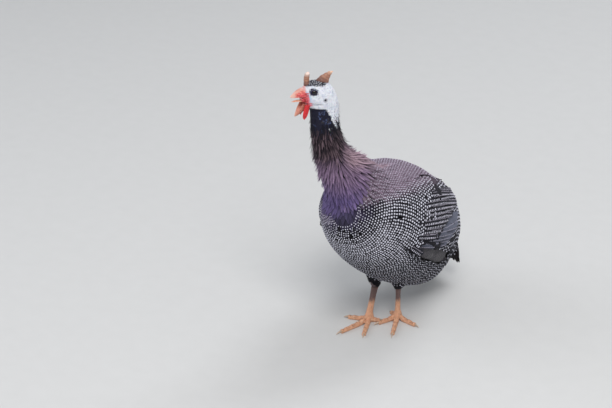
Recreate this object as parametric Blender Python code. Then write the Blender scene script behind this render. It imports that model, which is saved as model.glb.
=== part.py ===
"""A helmeted guinea fowl at life size, standing with its neck raised and its bill wide open.

Metres, +Z up. The bird faces -Y, its left side is +X, and the origin is on the floor, in the
middle of the bird's outline seen from above.
"""

import math
import random

import bmesh
import bpy
import numpy as np
from mathutils import Matrix, Vector

# Air kept between two pieces that touch, so that none overlaps its neighbour.
GAP = 0.0003

# Body: an egg-shaped loft along an axis that is raised at the breast.
BODY_LENGTH = 0.338
BODY_TILT = math.radians(28)
BODY_HALF_WIDTH = 0.090
BACK_HEIGHT = 0.100
BELLY_DEPTH = 0.099
BODY_CENTRE = Vector((0.005, 0.011, 0.1725))
BODY_PEAK = 0.47
BELLY_PEAK = 0.70
BELLY_SQUARE = 0.26
BODY_RINGS = 24
BODY_SIDES = 32

# Wing: its shoulder, its tip and the rear of its fleshy pad, as shares of the body's axis.
WING_START = 0.12
WING_END = 0.98
WING_PAD_END = 0.66
WING_FULL_FROM = 0.38
WING_TOP_ANGLE = math.radians(34)
WING_MIDDLE_ANGLE = math.radians(76)
WING_TIP_ANGLE = math.radians(80)
WING_LOW_ANGLE = math.radians(118)
WING_THICKNESS = 0.0066
WING_EDGE = 0.0020
WING_SUNK = 0.004
WING_ROWS = 12
WING_OUTER = 10
WING_INNER = 5
# One tier of wing feathers a row: how many, share of the body's axis at the roots and at the first
# and last tip, place between the wing's upper edge (0) and lower edge (1) of the first and the last,
# height over the body's skin at root and tip, half width, and how far the lower edge leans out.
WING_TIERS = (
    (4, 0.50, 0.930, 0.960, 0.66, 0.97, 0.0006, 0.0017, 0.0090, 0.0006),
    (6, 0.44, 0.860, 0.945, 0.06, 0.80, 0.0016, 0.0042, 0.0105, 0.0011),
    (7, 0.31, 0.680, 0.710, 0.05, 0.93, 0.0030, 0.0062, 0.0112, 0.0009),
    (7, 0.19, 0.490, 0.510, 0.06, 0.92, 0.0040, 0.0080, 0.0118, 0.0009),
)
WING_FAN_END = 0.84
VANE_THICKNESS = 0.0006
# How far along a feather its cross-sections lie, and how wide each is against the widest.
VANE_STATIONS = ((0.0, 0.55), (0.30, 0.85), (0.62, 1.0), (0.84, 0.86), (0.95, 0.50))

# Neck, from inside the breast to the cut under the jaw: side and fore-and-aft half widths.
NECK_FOOT = Vector((0.004, -0.055, 0.215))
NECK_FOOT_HALF = (0.058, 0.058)
NECK_SHOULDER = Vector((0.0, -0.092, 0.272))
NECK_SHOULDER_HALF = (0.048, 0.050)
NECK_MIDDLE = Vector((-0.017, -0.127, 0.328))
NECK_MIDDLE_HALF = (0.027, 0.031)
NECK_UPPER = Vector((-0.029, -0.136, 0.376))
NECK_UPPER_HALF = (0.0185, 0.0235)
NECK_CUT = -0.0325
NECK_TOP_CENTRE = -0.0190
NECK_TOP_HALF = (0.0160, 0.0225)
NECK_ROWS = 14
NECK_SIDES = 24

# Head: its own frame has x' forward along the bill, y' to its left and z' up, from between the eyes.
HEAD_CENTRE = Vector((-0.046, -0.148, 0.448))
HEAD_TURN = math.radians(42)
HEAD_SIDES = 26
# One level of the head a row: its height, its front, its back and its half width.
HEAD_LEVELS = (
    (-0.0325, 0.0035, -0.0415, 0.0160),
    (-0.0260, 0.0080, -0.0412, 0.0163),
    (-0.0190, 0.0130, -0.0398, 0.0165),
    (-0.0120, 0.0155, -0.0376, 0.0163),
    (-0.0050, 0.0163, -0.0348, 0.0155),
    (0.0010, 0.0160, -0.0314, 0.0142),
    (0.0060, 0.0138, -0.0272, 0.0120),
    (0.0100, 0.0098, -0.0222, 0.0088),
    (0.0126, 0.0030, -0.0155, 0.0045),
)
HEAD_CROWN = (-0.0065, 0.0133)
HEAD_ROWS = 14
HEAD_NARROWING = 0.30
EYE_SIDE = 0.0108
EYE_RADIUS = 0.0050
LID_RADIUS = 0.0046
LID_THICKNESS = 0.0010
LID_OUT = 0.0031
LID_SQUASH = 0.82
EAR = (-0.0165, 0.0150, -0.0133)
EAR_RADIUS = 0.0022
EAR_RIM = 0.0009
MOUTH_CENTRE = (0.0165, 0.0, -0.0165)
MOUTH_HALF = (0.0135, 0.0076, 0.0072)

# Bill: the culmen and the cutting edge of the upper half, and the trough of the dropped lower half.
BILL_ROOT = 0.0110
BILL_TIP = (0.0350, -0.0092)
CULMEN_RISE = 0.0050
BILL_HALF_WIDTH = 0.0078
BILL_EDGE_DROP = -0.0085
BILL_HOOK = 0.0012
BILL_ROWS = 8
BILL_ARCH = 9
NOSTRIL = (0.0185, 0.0050, 0.0002)
NOSTRIL_HALF = (0.0021, 0.0016, 0.0010)
JAW_ROOT = (0.0160, -0.0190)
JAW_TIP = (0.0280, -0.0415)
JAW_HALF_WIDTH = 0.0086
JAW_DEPTH = 0.0105
JAW_WALL = 0.0015
JAW_ROWS = 7
JAW_ARCH = 7
TONGUE_ROOT = (0.0000, -0.0185)
TONGUE_TIP = (0.0335, -0.0166)
TONGUE_HALF_WIDTH = 0.0040
TONGUE_THICKNESS = (0.0017, 0.0009)
TONGUE_RISE = 0.0012
TONGUE_ROWS = 6

# Headgear and face: the horn on the crown, the knob on the brow and the wattles at the gape.
CASQUE_PATH = ((-0.0138, 0.0080), (-0.0168, 0.0150), (-0.0220, 0.0210), (-0.0288, 0.0256))
CASQUE_HALF_LENGTHS = (0.0112, 0.0100, 0.0074, 0.0036)
CASQUE_HALF_WIDTHS = (0.0058, 0.0050, 0.0042, 0.0026)
KNOB_PATH = ((0.0080, 0.0040), (0.0088, 0.0120), (0.0086, 0.0200), (0.0072, 0.0270))
KNOB_HALVES = (0.0050, 0.0040, 0.0040, 0.0034)
HORN_ROWS = 7
HORN_SIDES = 14
HORN_CAP = 0.6
WATTLE_ROOT = (0.0100, 0.0105, -0.0205)
WATTLE_TIP = (0.0155, 0.0110, -0.0440)
WATTLE_HALF_LENGTH = 0.0044
WATTLE_HALF_THICKNESS = 0.0014
WATTLE_ROOT_WIDTH = 0.62
WATTLE_ROWS = 7

# Legs: where the shanks meet the feet, how each foot is turned out, and the toes' sizes.
FOOT_LEFT = Vector((0.0245, 0.0055, 0.0))
FOOT_RIGHT = Vector((-0.0105, -0.0275, 0.0))
FOOT_TURN_LEFT = math.radians(22)
FOOT_TURN_RIGHT = math.radians(17)
ANKLE_HEIGHT = 0.0150
HOCK_LEFT = Vector((0.0225, 0.0095, 0.057))
HOCK_RIGHT = Vector((-0.0110, -0.0090, 0.058))
SHANK_HALF_WIDTH = 0.0039
SHANK_HALF_DEPTH = 0.0058
SHANK_END_SWELL = 0.28
LEG_ROWS = 6
THIGH_TOP = (0.034, 0.002, 0.122)
THIGH_TOP_RADIUS = 0.028
THIGH_END_RADIUS = 0.0074
# One level of the ankle a row: its height, and its half width and depth.
ANKLE_LEVELS = (
    (ANKLE_HEIGHT, 0.0054, 0.0074),
    (0.0110, 0.0066, 0.0078),
    (0.0065, 0.0080, 0.0086),
    (0.0024, 0.0072, 0.0076),
)
TOE_ROOT_RADIUS = 0.0044
TOE_END_RADIUS = 0.0032
TOE_JOINT_LENGTH = 0.013
TOE_JOINT_SWELL = 0.09
TOE_SUNK = 0.86
TOE_ARCH = 0.0050
CLAW_ROWS = 5
CLAW_HEIGHT = 0.0034
CLAW_ARCH = 0.0010
CLAW_TIP_HEIGHT = 0.0009
CLAW_OVERLAP = 0.003
# One toe a row: name, angle from the foot's heading (outward positive) and length on the left foot,
# the same on the right foot, and claw length.
TOES = (
    ("middle", 0, 0.055, 0, 0.060, 0.013),
    ("outer", 57, 0.037, 56, 0.034, 0.010),
    ("inner", -48, 0.036, -38, 0.049, 0.011),
    ("hind", -140, 0.018, -136, 0.016, 0.008),
)

# Tail: a drooping fan of feathers that grows out of a stub on the rump.
TAIL_ROOT = Vector((0.005, 0.146, 0.152))
TAIL_TIP = Vector((0.005, 0.189, 0.030))
TAIL_ROOT_HALF = 0.034
TAIL_TIP_HALF = 0.042
TAIL_CURVE = 0.007
TAIL_STUB = 0.62
TAIL_STUB_THICKNESS = (0.014, 0.0050)
TAIL_STUB_SIDES = 16
# One tier of tail feathers a row: how many, share of the tail's length at root and tip, spread of
# the roots and of the tips against the tail's half width, height at the middle, step down from one
# feather to the next outward, and half width.
TAIL_TIERS = (
    (11, 0.22, 1.00, 0.58, 0.92, 0.0030, 0.0010, 0.0064),
    (5, 0.06, 0.70, 0.60, 0.80, 0.0052, 0.0014, 0.0090),
)

FEATHER_SEED = 7
PLUMAGE = (0.045, 0.043, 0.055)
NECK_PLUMAGE = (0.030, 0.025, 0.035)
FACE = (0.72, 0.78, 0.85)
HORN = (0.36, 0.20, 0.13)
BILL = (0.72, 0.36, 0.24)
TONGUE = (0.70, 0.30, 0.20)
RED = (0.62, 0.05, 0.05)
EYE = (0.02, 0.015, 0.02)
LEG = (0.62, 0.29, 0.15)
SHANK = (0.16, 0.11, 0.11)
CLAW = (0.55, 0.42, 0.32)

UP = Vector((0.0, 0.0, 1.0))
LEFT = Vector((1.0, 0.0, 0.0))
FRONT = Vector((0.0, -1.0, 0.0))


def bulge(share, peak, front, rear):
    """0 at both ends and 1 at the peak, with each flank the fuller the smaller its power is."""
    if share <= 0.0 or share >= 1.0:
        return 0.0
    if share < peak:
        away = (peak - share) / peak
        return (1.0 - away**2) ** (0.5 * front)
    away = (share - peak) / (1.0 - peak)
    return (1.0 - away**2) ** (0.5 * rear)


def smoothstep(low, high, value):
    """0 below low, 1 above high, eased between them."""
    share = min(1.0, max(0.0, (value - low) / (high - low)))
    return share * share * (3.0 - 2.0 * share)


def along(stations, share):
    """A value at a share from 0 to 1 of a row of evenly spaced stations, on a smooth curve through them."""
    last = len(stations) - 1
    place = min(max(share, 0.0), 1.0) * last
    index = min(int(place), last - 1)
    t = place - index
    p1 = stations[index]
    p2 = stations[index + 1]
    p0 = stations[index - 1] if index > 0 else p1 * 2.0 - p2
    p3 = stations[index + 2] if index + 2 <= last else p2 * 2.0 - p1
    return (
        p1
        + (p2 - p0) * (0.5 * t)
        + (p0 - p1 * 2.5 + p2 * 2.0 - p3 * 0.5) * (t * t)
        + ((p1 - p2) * 1.5 + (p3 - p0) * 0.5) * (t * t * t)
    )


def new_object(name, vertices, faces, collection):
    """A mesh object whose faces point out."""
    mesh = bpy.data.meshes.new(name)
    mesh.from_pydata([tuple(v) for v in vertices], [], faces)
    made = bpy.data.objects.new(name, mesh)
    collection.objects.link(made)
    work = bmesh.new()
    work.from_mesh(mesh)
    bmesh.ops.recalc_face_normals(work, faces=work.faces)
    work.to_mesh(mesh)
    work.free()
    return made


def loft(name, rows, collection):
    """A closed surface through rows of points; a row of one point is a pole, and other ends are capped."""
    vertices = [point for row in rows for point in row]
    starts = np.cumsum([0] + [len(row) for row in rows])
    faces = []
    for index in range(len(rows) - 1):
        first, second = int(starts[index]), int(starts[index + 1])
        sides = max(len(rows[index]), len(rows[index + 1]))
        for k in range(sides):
            after = (k + 1) % sides
            if len(rows[index]) == 1:
                faces.append((first, second + after, second + k))
            elif len(rows[index + 1]) == 1:
                faces.append((first + k, first + after, second))
            else:
                faces.append((first + k, first + after, second + after, second + k))
    if len(rows[0]) > 1:
        faces.append(tuple(range(len(rows[0]) - 1, -1, -1)))
    if len(rows[-1]) > 1:
        faces.append(tuple(range(int(starts[-2]), int(starts[-1]))))
    return new_object(name, vertices, faces, collection)


def ring(centre, across, ahead, half_across, half_ahead, sides):
    """Points of an ellipse round centre, in the plane of across and ahead."""
    points = []
    for k in range(sides):
        angle = 2.0 * math.pi * k / sides
        x = math.cos(angle) * half_across
        y = math.sin(angle) * half_ahead
        points.append(centre + across * x + ahead * y)
    return points


def tube(name, path, radii, sides, collection, side_hint):
    """A capped tube along a path of points, with one radius a point."""
    rows = []
    for index, point in enumerate(path):
        before = path[max(index - 1, 0)]
        after = path[min(index + 1, len(path) - 1)]
        way = (after - before).normalized()
        across = (side_hint - way * side_hint.dot(way)).normalized()
        ahead = way.cross(across)
        rows.append(ring(point, across, ahead, radii[index], radii[index], sides))
    return loft(name, rows, collection)


def applied(made):
    """Bakes an object's modifiers into its mesh."""
    bpy.context.view_layer.update()
    graph = bpy.context.evaluated_depsgraph_get()
    mesh = bpy.data.meshes.new_from_object(made.evaluated_get(graph))
    old = made.data
    made.modifiers.clear()
    made.data = mesh
    bpy.data.meshes.remove(old)
    mesh.name = made.name
    return made


def discard(made):
    """Removes a helper and its mesh."""
    mesh = made.data
    bpy.data.objects.remove(made)
    bpy.data.meshes.remove(mesh)


def keep_largest(made):
    """Drops every closed surface of an object but the one with the largest volume."""
    work = bmesh.new()
    work.from_mesh(made.data)
    waiting = set(work.faces)
    shells = []
    while waiting:
        stack = [waiting.pop()]
        shell = list(stack)
        while stack:
            for edge in stack.pop().edges:
                for face in edge.link_faces:
                    if face in waiting:
                        waiting.discard(face)
                        stack.append(face)
                        shell.append(face)
        shells.append(shell)

    def volume(shell):
        total = 0.0
        for face in shell:
            first = face.verts[0].co
            for k in range(1, len(face.verts) - 1):
                total += first.dot(face.verts[k].co.cross(face.verts[k + 1].co))
        return total

    shells.sort(key=volume, reverse=True)
    loose = [face for shell in shells[1:] for face in shell]
    bmesh.ops.delete(work, geom=loose, context="FACES")
    work.to_mesh(made.data)
    work.free()
    return made


def grown(made, name, out, collection):
    """A copy of an object whose surface stands out by a small distance."""
    copy = made.copy()
    copy.data = made.data.copy()
    copy.name = name
    collection.objects.link(copy)
    work = bmesh.new()
    work.from_mesh(copy.data)
    work.normal_update()
    shifts = []
    for vertex in work.verts:
        normal = vertex.normal.copy()
        lean = min((normal.dot(face.normal) for face in vertex.link_faces), default=1.0)
        shifts.append(normal * (out / max(lean, 0.5)))
    for vertex, shift in zip(work.verts, shifts):
        vertex.co += shift
    work.to_mesh(copy.data)
    work.free()
    return copy


def cut_by(made, others, cutters, gap=GAP):
    """Takes the room of each other object, and the gap round it, out of an object."""
    for other in others:
        cutter = grown(other, "cutter_of_" + other.name, gap, cutters)
        boolean = made.modifiers.new("clear", "BOOLEAN")
        boolean.operation = "DIFFERENCE"
        boolean.object = cutter
        applied(made)
        discard(cutter)
    return keep_largest(made)


def carve(made, tools):
    """Takes helper shapes out of an object, and removes them."""
    for tool in tools:
        boolean = made.modifiers.new("carve", "BOOLEAN")
        boolean.operation = "DIFFERENCE"
        boolean.object = tool
        applied(made)
        discard(tool)
    return keep_largest(made)


def fused(made, pieces, collection, solver="EXACT"):
    """Joins closed pieces to an object with one Boolean union on a collection."""
    group = bpy.data.collections.new("pieces_of_" + made.name)
    bpy.context.scene.collection.children.link(group)
    for piece in pieces:
        collection.objects.unlink(piece)
        group.objects.link(piece)
    boolean = made.modifiers.new("join", "BOOLEAN")
    boolean.operation = "UNION"
    boolean.operand_type = "COLLECTION"
    boolean.solver = solver
    boolean.collection = group
    applied(made)
    for piece in pieces:
        discard(piece)
    bpy.data.collections.remove(group)
    return keep_largest(made)


def cut_flat(made, point, normal, cutters, reach=0.5):
    """Cuts away all of an object on the side of a plane that its normal points to."""
    bpy.ops.mesh.primitive_cube_add(size=1.0)
    block = bpy.context.object
    for owner in list(block.users_collection):
        owner.objects.unlink(block)
    cutters.objects.link(block)
    turn = normal.to_track_quat("Z", "Y").to_matrix().to_4x4()
    place = Matrix.Translation(point + normal * (reach / 2.0)) @ turn @ Matrix.Scale(reach, 4)
    block.data.transform(place)
    return carve(made, [block])


def finish(made, colour, roughness, metallic=0.0, angle=50):
    """Gives an object its own material and smooth shading."""
    material = bpy.data.materials.new(made.name)
    material.use_nodes = True
    shader = material.node_tree.nodes["Principled BSDF"]
    shader.inputs["Base Color"].default_value = (*colour, 1.0)
    shader.inputs["Roughness"].default_value = roughness
    shader.inputs["Metallic"].default_value = metallic
    material.diffuse_color = (*colour, 1.0)
    made.data.materials.clear()
    made.data.materials.append(material)
    made.data.shade_smooth()
    made.data.set_sharp_from_angle(angle=math.radians(angle))
    return made


# The body's own directions: along its axis to the rear, and square to it out of the back.
BODY_REAR = Vector((0.0, math.cos(BODY_TILT), -math.sin(BODY_TILT)))
BODY_OUT = Vector((0.0, math.sin(BODY_TILT), math.cos(BODY_TILT)))


def body_point(share, angle, out=0.0):
    """A point of the body: share runs from the breast to the rear, angle from the back down the left side."""

    def skin(s, a):
        centre = BODY_CENTRE + BODY_REAR * ((s - 0.5) * BODY_LENGTH)
        wide = BODY_HALF_WIDTH * bulge(s, BODY_PEAK, 1.0, 0.95)
        high = BACK_HEIGHT * bulge(s, BODY_PEAK - 0.02, 1.0, 1.05)
        deep = BELLY_DEPTH * bulge(s, BELLY_PEAK, 0.95, 0.75)
        tall = high if math.cos(a) > 0.0 else deep
        # Towards the vent the section of the belly is squarer than an ellipse.
        power = 1.0 - BELLY_SQUARE * smoothstep(0.55, 0.90, s) * smoothstep(0.0, -0.4, math.cos(a))
        across = math.copysign(abs(math.sin(a)) ** power, math.sin(a))
        over = math.copysign(abs(math.cos(a)) ** power, math.cos(a))
        return centre + LEFT * (wide * across) + BODY_OUT * (tall * over)

    share = min(max(share, 0.004), 0.996)
    point = skin(share, angle)
    if not out:
        return point
    step = 0.003
    way = skin(min(share + step, 0.999), angle) - skin(max(share - step, 0.001), angle)
    round_way = skin(share, angle + step) - skin(share, angle - step)
    return point + round_way.cross(way).normalized() * out


def make_torso(parts):
    rows = [[BODY_CENTRE - BODY_REAR * (BODY_LENGTH / 2.0)]]
    for index in range(1, BODY_RINGS):
        share = 0.5 - 0.5 * math.cos(math.pi * index / BODY_RINGS)
        rows.append([body_point(share, 2.0 * math.pi * k / BODY_SIDES) for k in range(BODY_SIDES)])
    rows.append([BODY_CENTRE + BODY_REAR * (BODY_LENGTH / 2.0)])
    return loft("torso", rows, parts)


def head_frame(x, y, z):
    """A point of the head's own frame, in the model's frame."""
    return HEAD_CENTRE + HEAD_FORWARD * x + HEAD_LEFT * y + UP * z


HEAD_FORWARD = Vector((-math.sin(HEAD_TURN), -math.cos(HEAD_TURN), 0.0))
HEAD_LEFT = UP.cross(HEAD_FORWARD)


def make_neck(parts):
    top = head_frame(NECK_TOP_CENTRE, 0.0, NECK_CUT - GAP)
    centres = [NECK_FOOT, NECK_SHOULDER, NECK_MIDDLE, NECK_UPPER, top]
    pairs = (NECK_FOOT_HALF, NECK_SHOULDER_HALF, NECK_MIDDLE_HALF, NECK_UPPER_HALF, NECK_TOP_HALF)
    halves = [Vector(pair) for pair in pairs]
    rows = []
    for index in range(NECK_ROWS + 1):
        share = index / NECK_ROWS
        half = along(halves, share)
        turn = HEAD_TURN * smoothstep(0.4, 1.0, share)
        forward = Vector((-math.sin(turn), -math.cos(turn), 0.0))
        upright = smoothstep(0.45, 0.95, share)
        way = (along(centres, share + 0.02) - along(centres, share - 0.02)).normalized()
        normal = (way * (1.0 - upright) + UP * upright).normalized()
        ahead = (forward - normal * forward.dot(normal)).normalized()
        rows.append(ring(along(centres, share), normal.cross(ahead), ahead, half.x, half.y, NECK_SIDES))
    return loft("neck", rows, parts)


def head_row(level):
    """One level of the head: an egg with its narrow end at the bill."""
    z, front, back, half = level
    middle = (front + back) / 2.0
    reach = (front - back) / 2.0
    points = []
    for k in range(HEAD_SIDES):
        angle = 2.0 * math.pi * k / HEAD_SIDES
        c, s = math.cos(angle), math.sin(angle)
        narrow = 1.0 - HEAD_NARROWING * max(c, 0.0) ** 1.5
        points.append(head_frame(middle + reach * c, half * s * narrow, z))
    return points


def ball(name, centre, halves, axes, segments, rings, collection):
    """A sphere stretched along three directions."""
    work = bmesh.new()
    bmesh.ops.create_uvsphere(work, u_segments=segments, v_segments=rings, radius=1.0)
    for vertex in work.verts:
        x, y, z = vertex.co
        vertex.co = centre + axes[0] * (x * halves[0]) + axes[1] * (y * halves[1]) + axes[2] * (z * halves[2])
    mesh = bpy.data.meshes.new(name)
    bmesh.ops.recalc_face_normals(work, faces=work.faces)
    work.to_mesh(mesh)
    work.free()
    made = bpy.data.objects.new(name, mesh)
    collection.objects.link(made)
    return made


def rim(name, centre, normal, radius, thickness, sides, collection, squash=1.0):
    """A thin ring that lies square to its normal, such as an eyelid."""
    across = UP.cross(normal).normalized()
    rise = normal.cross(across)
    vertices = []
    faces = []
    section = 6
    for k in range(sides):
        angle = 2.0 * math.pi * k / sides
        out = across * math.cos(angle) + rise * (math.sin(angle) * squash)
        for j in range(section):
            turn = 2.0 * math.pi * j / section
            aside = out.normalized() * math.cos(turn) + normal * math.sin(turn)
            vertices.append(centre + out * radius + aside * thickness)
    for k in range(sides):
        for j in range(section):
            a = k * section + j
            b = k * section + (j + 1) % section
            c = (k + 1) % sides * section + (j + 1) % section
            d = (k + 1) % sides * section + j
            faces.append((a, b, c, d))
    return new_object(name, vertices, faces, collection)


HEAD_AXES = (HEAD_FORWARD, HEAD_LEFT, UP)


def make_head(parts, cutters):
    levels = [Vector(level) for level in HEAD_LEVELS]
    rows = [head_row(along(levels, index / (HEAD_ROWS - 1))) for index in range(HEAD_ROWS)]
    rows.append([head_frame(HEAD_CROWN[0], 0.0, HEAD_CROWN[1])])
    head = loft("head", rows, parts)
    pieces = []
    tools = [ball("mouth", head_frame(*MOUTH_CENTRE), MOUTH_HALF, HEAD_AXES, 16, 10, cutters)]
    for side in (1, -1):
        eye = head_frame(0.0, side * EYE_SIDE, 0.0)
        outward = (HEAD_LEFT * side + HEAD_FORWARD * 0.16 + UP * 0.10).normalized()
        lid = eye + outward * LID_OUT
        pieces.append(rim("lid", lid, outward, LID_RADIUS, LID_THICKNESS, 16, cutters, LID_SQUASH))
        tools.append(ball("socket", eye, [EYE_RADIUS + GAP] * 3, HEAD_AXES, 16, 10, cutters))
        ear = head_frame(EAR[0], side * EAR[1], EAR[2])
        flank = (HEAD_LEFT * side - HEAD_FORWARD * 0.15).normalized()
        lip = ear + flank * (EAR_RIM * 0.7)
        pieces.append(rim("ear_rim", lip, flank, EAR_RADIUS + EAR_RIM * 0.4, EAR_RIM, 10, cutters))
        tools.append(ball("ear_cup", lip, [EAR_RADIUS] * 3, HEAD_AXES, 10, 6, cutters))
    fused(head, pieces, cutters)
    return carve(head, tools)


def make_eye(name, side, parts):
    return ball(name, head_frame(0.0, side * EYE_SIDE, 0.0), [EYE_RADIUS] * 3, HEAD_AXES, 16, 10, parts)


def make_upper_bill(parts, cutters, head):
    """An arched hook: each row runs over the culmen from edge to edge and back under the palate."""
    rows = []
    for index in range(BILL_ROWS):
        share = index / BILL_ROWS
        x = BILL_ROOT + (BILL_TIP[0] - BILL_ROOT) * share
        ridge = CULMEN_RISE + (BILL_TIP[1] - CULMEN_RISE) * share**2.1
        edge = BILL_EDGE_DROP + (BILL_TIP[1] - BILL_HOOK - BILL_EDGE_DROP) * share**1.5
        half = BILL_HALF_WIDTH * (1.0 - share**1.6) ** 0.8
        hollow = 0.35 * (ridge - edge) * (1.0 - share)
        row = []
        for k in range(BILL_ARCH):
            angle = math.pi * k / (BILL_ARCH - 1)
            lift = math.sin(angle) ** 0.8
            row.append(head_frame(x, half * math.cos(angle), edge + (ridge - edge) * lift))
        for k in range(1, 4):
            place = -1.0 + k / 2.0
            row.append(head_frame(x, half * 0.8 * place, edge + hollow * (1.0 - abs(place)) + GAP))
        rows.append(row)
    rows.append([head_frame(BILL_TIP[0], 0.0, BILL_TIP[1])])
    bill = loft("beak_upper", rows, parts)
    holes = []
    for side in (1, -1):
        place = head_frame(NOSTRIL[0], side * NOSTRIL[1], NOSTRIL[2])
        holes.append(ball("nostril", place, NOSTRIL_HALF, HEAD_AXES, 8, 6, cutters))
    carve(bill, holes)
    return cut_by(bill, [head], cutters)


def make_lower_bill(parts, cutters, head):
    """A trough that hangs open: its rims face forward and up, its keel back and down."""
    root = Vector((JAW_ROOT[0], 0.0, JAW_ROOT[1]))
    tip = Vector((JAW_TIP[0], 0.0, JAW_TIP[1]))
    way = (tip - root).normalized()
    opening = Vector((-way.z, 0.0, way.x))
    rows = []
    for index in range(JAW_ROWS):
        share = index / JAW_ROWS
        centre = root.lerp(tip, share)
        half = JAW_HALF_WIDTH * (1.0 - share**2.2) ** 0.7
        deep = JAW_DEPTH * (1.0 - share**1.8)
        row = []
        for k in range(JAW_ARCH):
            angle = math.pi * k / (JAW_ARCH - 1)
            place = centre - opening * (deep * math.sin(angle) ** 0.8)
            row.append(head_frame(place.x, half * math.cos(angle), place.z))
        inner_half = half - JAW_WALL * 0.8
        inner_deep = max(deep - JAW_WALL, deep * 0.35)
        for k in range(JAW_ARCH - 1, -1, -1):
            angle = math.pi * k / (JAW_ARCH - 1)
            place = centre + opening * GAP - opening * (inner_deep * math.sin(angle) ** 0.8)
            row.append(head_frame(place.x, inner_half * math.cos(angle), place.z))
        rows.append(row)
    rows.append([head_frame(tip.x, 0.0, tip.z)])
    return cut_by(loft("beak_lower", rows, parts), [head], cutters)


def make_tongue(parts, cutters, others):
    root = head_frame(TONGUE_ROOT[0], 0.0, TONGUE_ROOT[1])
    tip = head_frame(TONGUE_TIP[0], 0.0, TONGUE_TIP[1])
    rows = []
    for index in range(TONGUE_ROWS):
        share = index / TONGUE_ROWS
        half = TONGUE_HALF_WIDTH * (1.0 - share**1.7) ** 0.75 + GAP
        centre = root.lerp(tip, share) + UP * (TONGUE_RISE * math.sin(math.pi * share))
        thick = TONGUE_THICKNESS[0] + (TONGUE_THICKNESS[1] - TONGUE_THICKNESS[0]) * share
        rows.append(ring(centre, HEAD_LEFT, UP, half, thick, 10))
    rows.append([tip])
    return cut_by(loft("tongue", rows, parts), others, cutters)


def make_horn(name, path, lengths, widths, parts, cutters, others):
    """A bony horn on the head's midline, oval in section, with a rounded end."""
    centres = [Vector((x, z)) for x, z in path]
    sizes = [Vector(pair) for pair in zip(lengths, widths)]
    rows = []
    for index in range(HORN_ROWS + 1):
        centre = along(centres, index / HORN_ROWS)
        size = along(sizes, index / HORN_ROWS)
        place = head_frame(centre.x, 0.0, centre.y)
        rows.append(ring(place, HEAD_LEFT, HEAD_FORWARD, size.y, size.x, HORN_SIDES))
    end = centres[-1] + (centres[-1] - centres[-2]).normalized() * lengths[-1] * HORN_CAP
    rows.append([head_frame(end.x, 0.0, end.y)])
    return cut_by(loft(name, rows, parts), others, cutters)


def make_wattle(name, side, parts, cutters, others):
    """A leaf-shaped flap that hangs from the corner of the gape."""
    root = Vector(WATTLE_ROOT)
    tip = Vector(WATTLE_TIP)
    rows = []
    for index in range(WATTLE_ROWS):
        share = index / WATTLE_ROWS
        centre = root.lerp(tip, share)
        swell = bulge(0.05 + 0.9 * share, 0.55, 1.0, 1.0)
        half = WATTLE_HALF_LENGTH * (WATTLE_ROOT_WIDTH + (1.0 - WATTLE_ROOT_WIDTH) * swell)
        half *= (1.0 - share**4) ** 0.6
        thick = WATTLE_HALF_THICKNESS * (1.0 - 0.3 * share)
        place = head_frame(centre.x, side * centre.y, centre.z)
        rows.append(ring(place, HEAD_FORWARD, HEAD_LEFT, half, thick, 10))
    rows.append([head_frame(tip.x, side * tip.y, tip.z)])
    return cut_by(loft(name, rows, parts), others, cutters)


def make_thigh(name, side, hock, parts, cutters, others):
    """The feathered leg, from inside the belly down to the hock."""
    top = Vector((BODY_CENTRE.x + side * THIGH_TOP[0], THIGH_TOP[1], THIGH_TOP[2]))
    rows = []
    for index in range(LEG_ROWS + 1):
        share = index / LEG_ROWS
        radius = THIGH_TOP_RADIUS + (THIGH_END_RADIUS - THIGH_TOP_RADIUS) * share**0.6
        centre = top.lerp(hock, share)
        rows.append(ring(centre, LEFT, FRONT, radius, radius * 1.1, 16))
    return cut_by(loft(name, rows, parts), others, cutters)


def make_shank(name, side, foot, turn, hock, parts):
    """The bare leg between the hock and the toes, deeper than wide and a little thicker at both ends."""
    ahead = toe_way(turn, side, 0.0)
    top = hock - UP * GAP
    ankle = foot + UP * (ANKLE_HEIGHT + GAP)
    rows = []
    for index in range(LEG_ROWS + 1):
        share = index / LEG_ROWS
        swell = 1.0 + SHANK_END_SWELL * (1.0 - bulge(0.02 + 0.96 * share, 0.5, 1.0, 1.0))
        centre = top.lerp(ankle, share)
        across = UP.cross(ahead)
        rows.append(ring(centre, across, ahead, SHANK_HALF_WIDTH * swell, SHANK_HALF_DEPTH * swell, 12))
    return loft(name, rows, parts)


def toe_way(turn, side, angle):
    """The direction of a toe on the floor; positive angles turn it outward."""
    heading = turn + math.radians(angle)
    return Vector((side * math.sin(heading), -math.cos(heading), 0.0))


def toe_size(toe, side):
    """A toe's angle and length on the foot of one side."""
    return toe[1:3] if side > 0 else toe[3:5]


def toe_radius(share, length):
    """A toe's radius along its length, with a swelling at each joint."""
    joints = max(2, round(length / TOE_JOINT_LENGTH))
    base = TOE_ROOT_RADIUS + (TOE_END_RADIUS - TOE_ROOT_RADIUS) * share
    return base * (1.0 + TOE_JOINT_SWELL * math.cos(2.0 * math.pi * joints * share))


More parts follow.
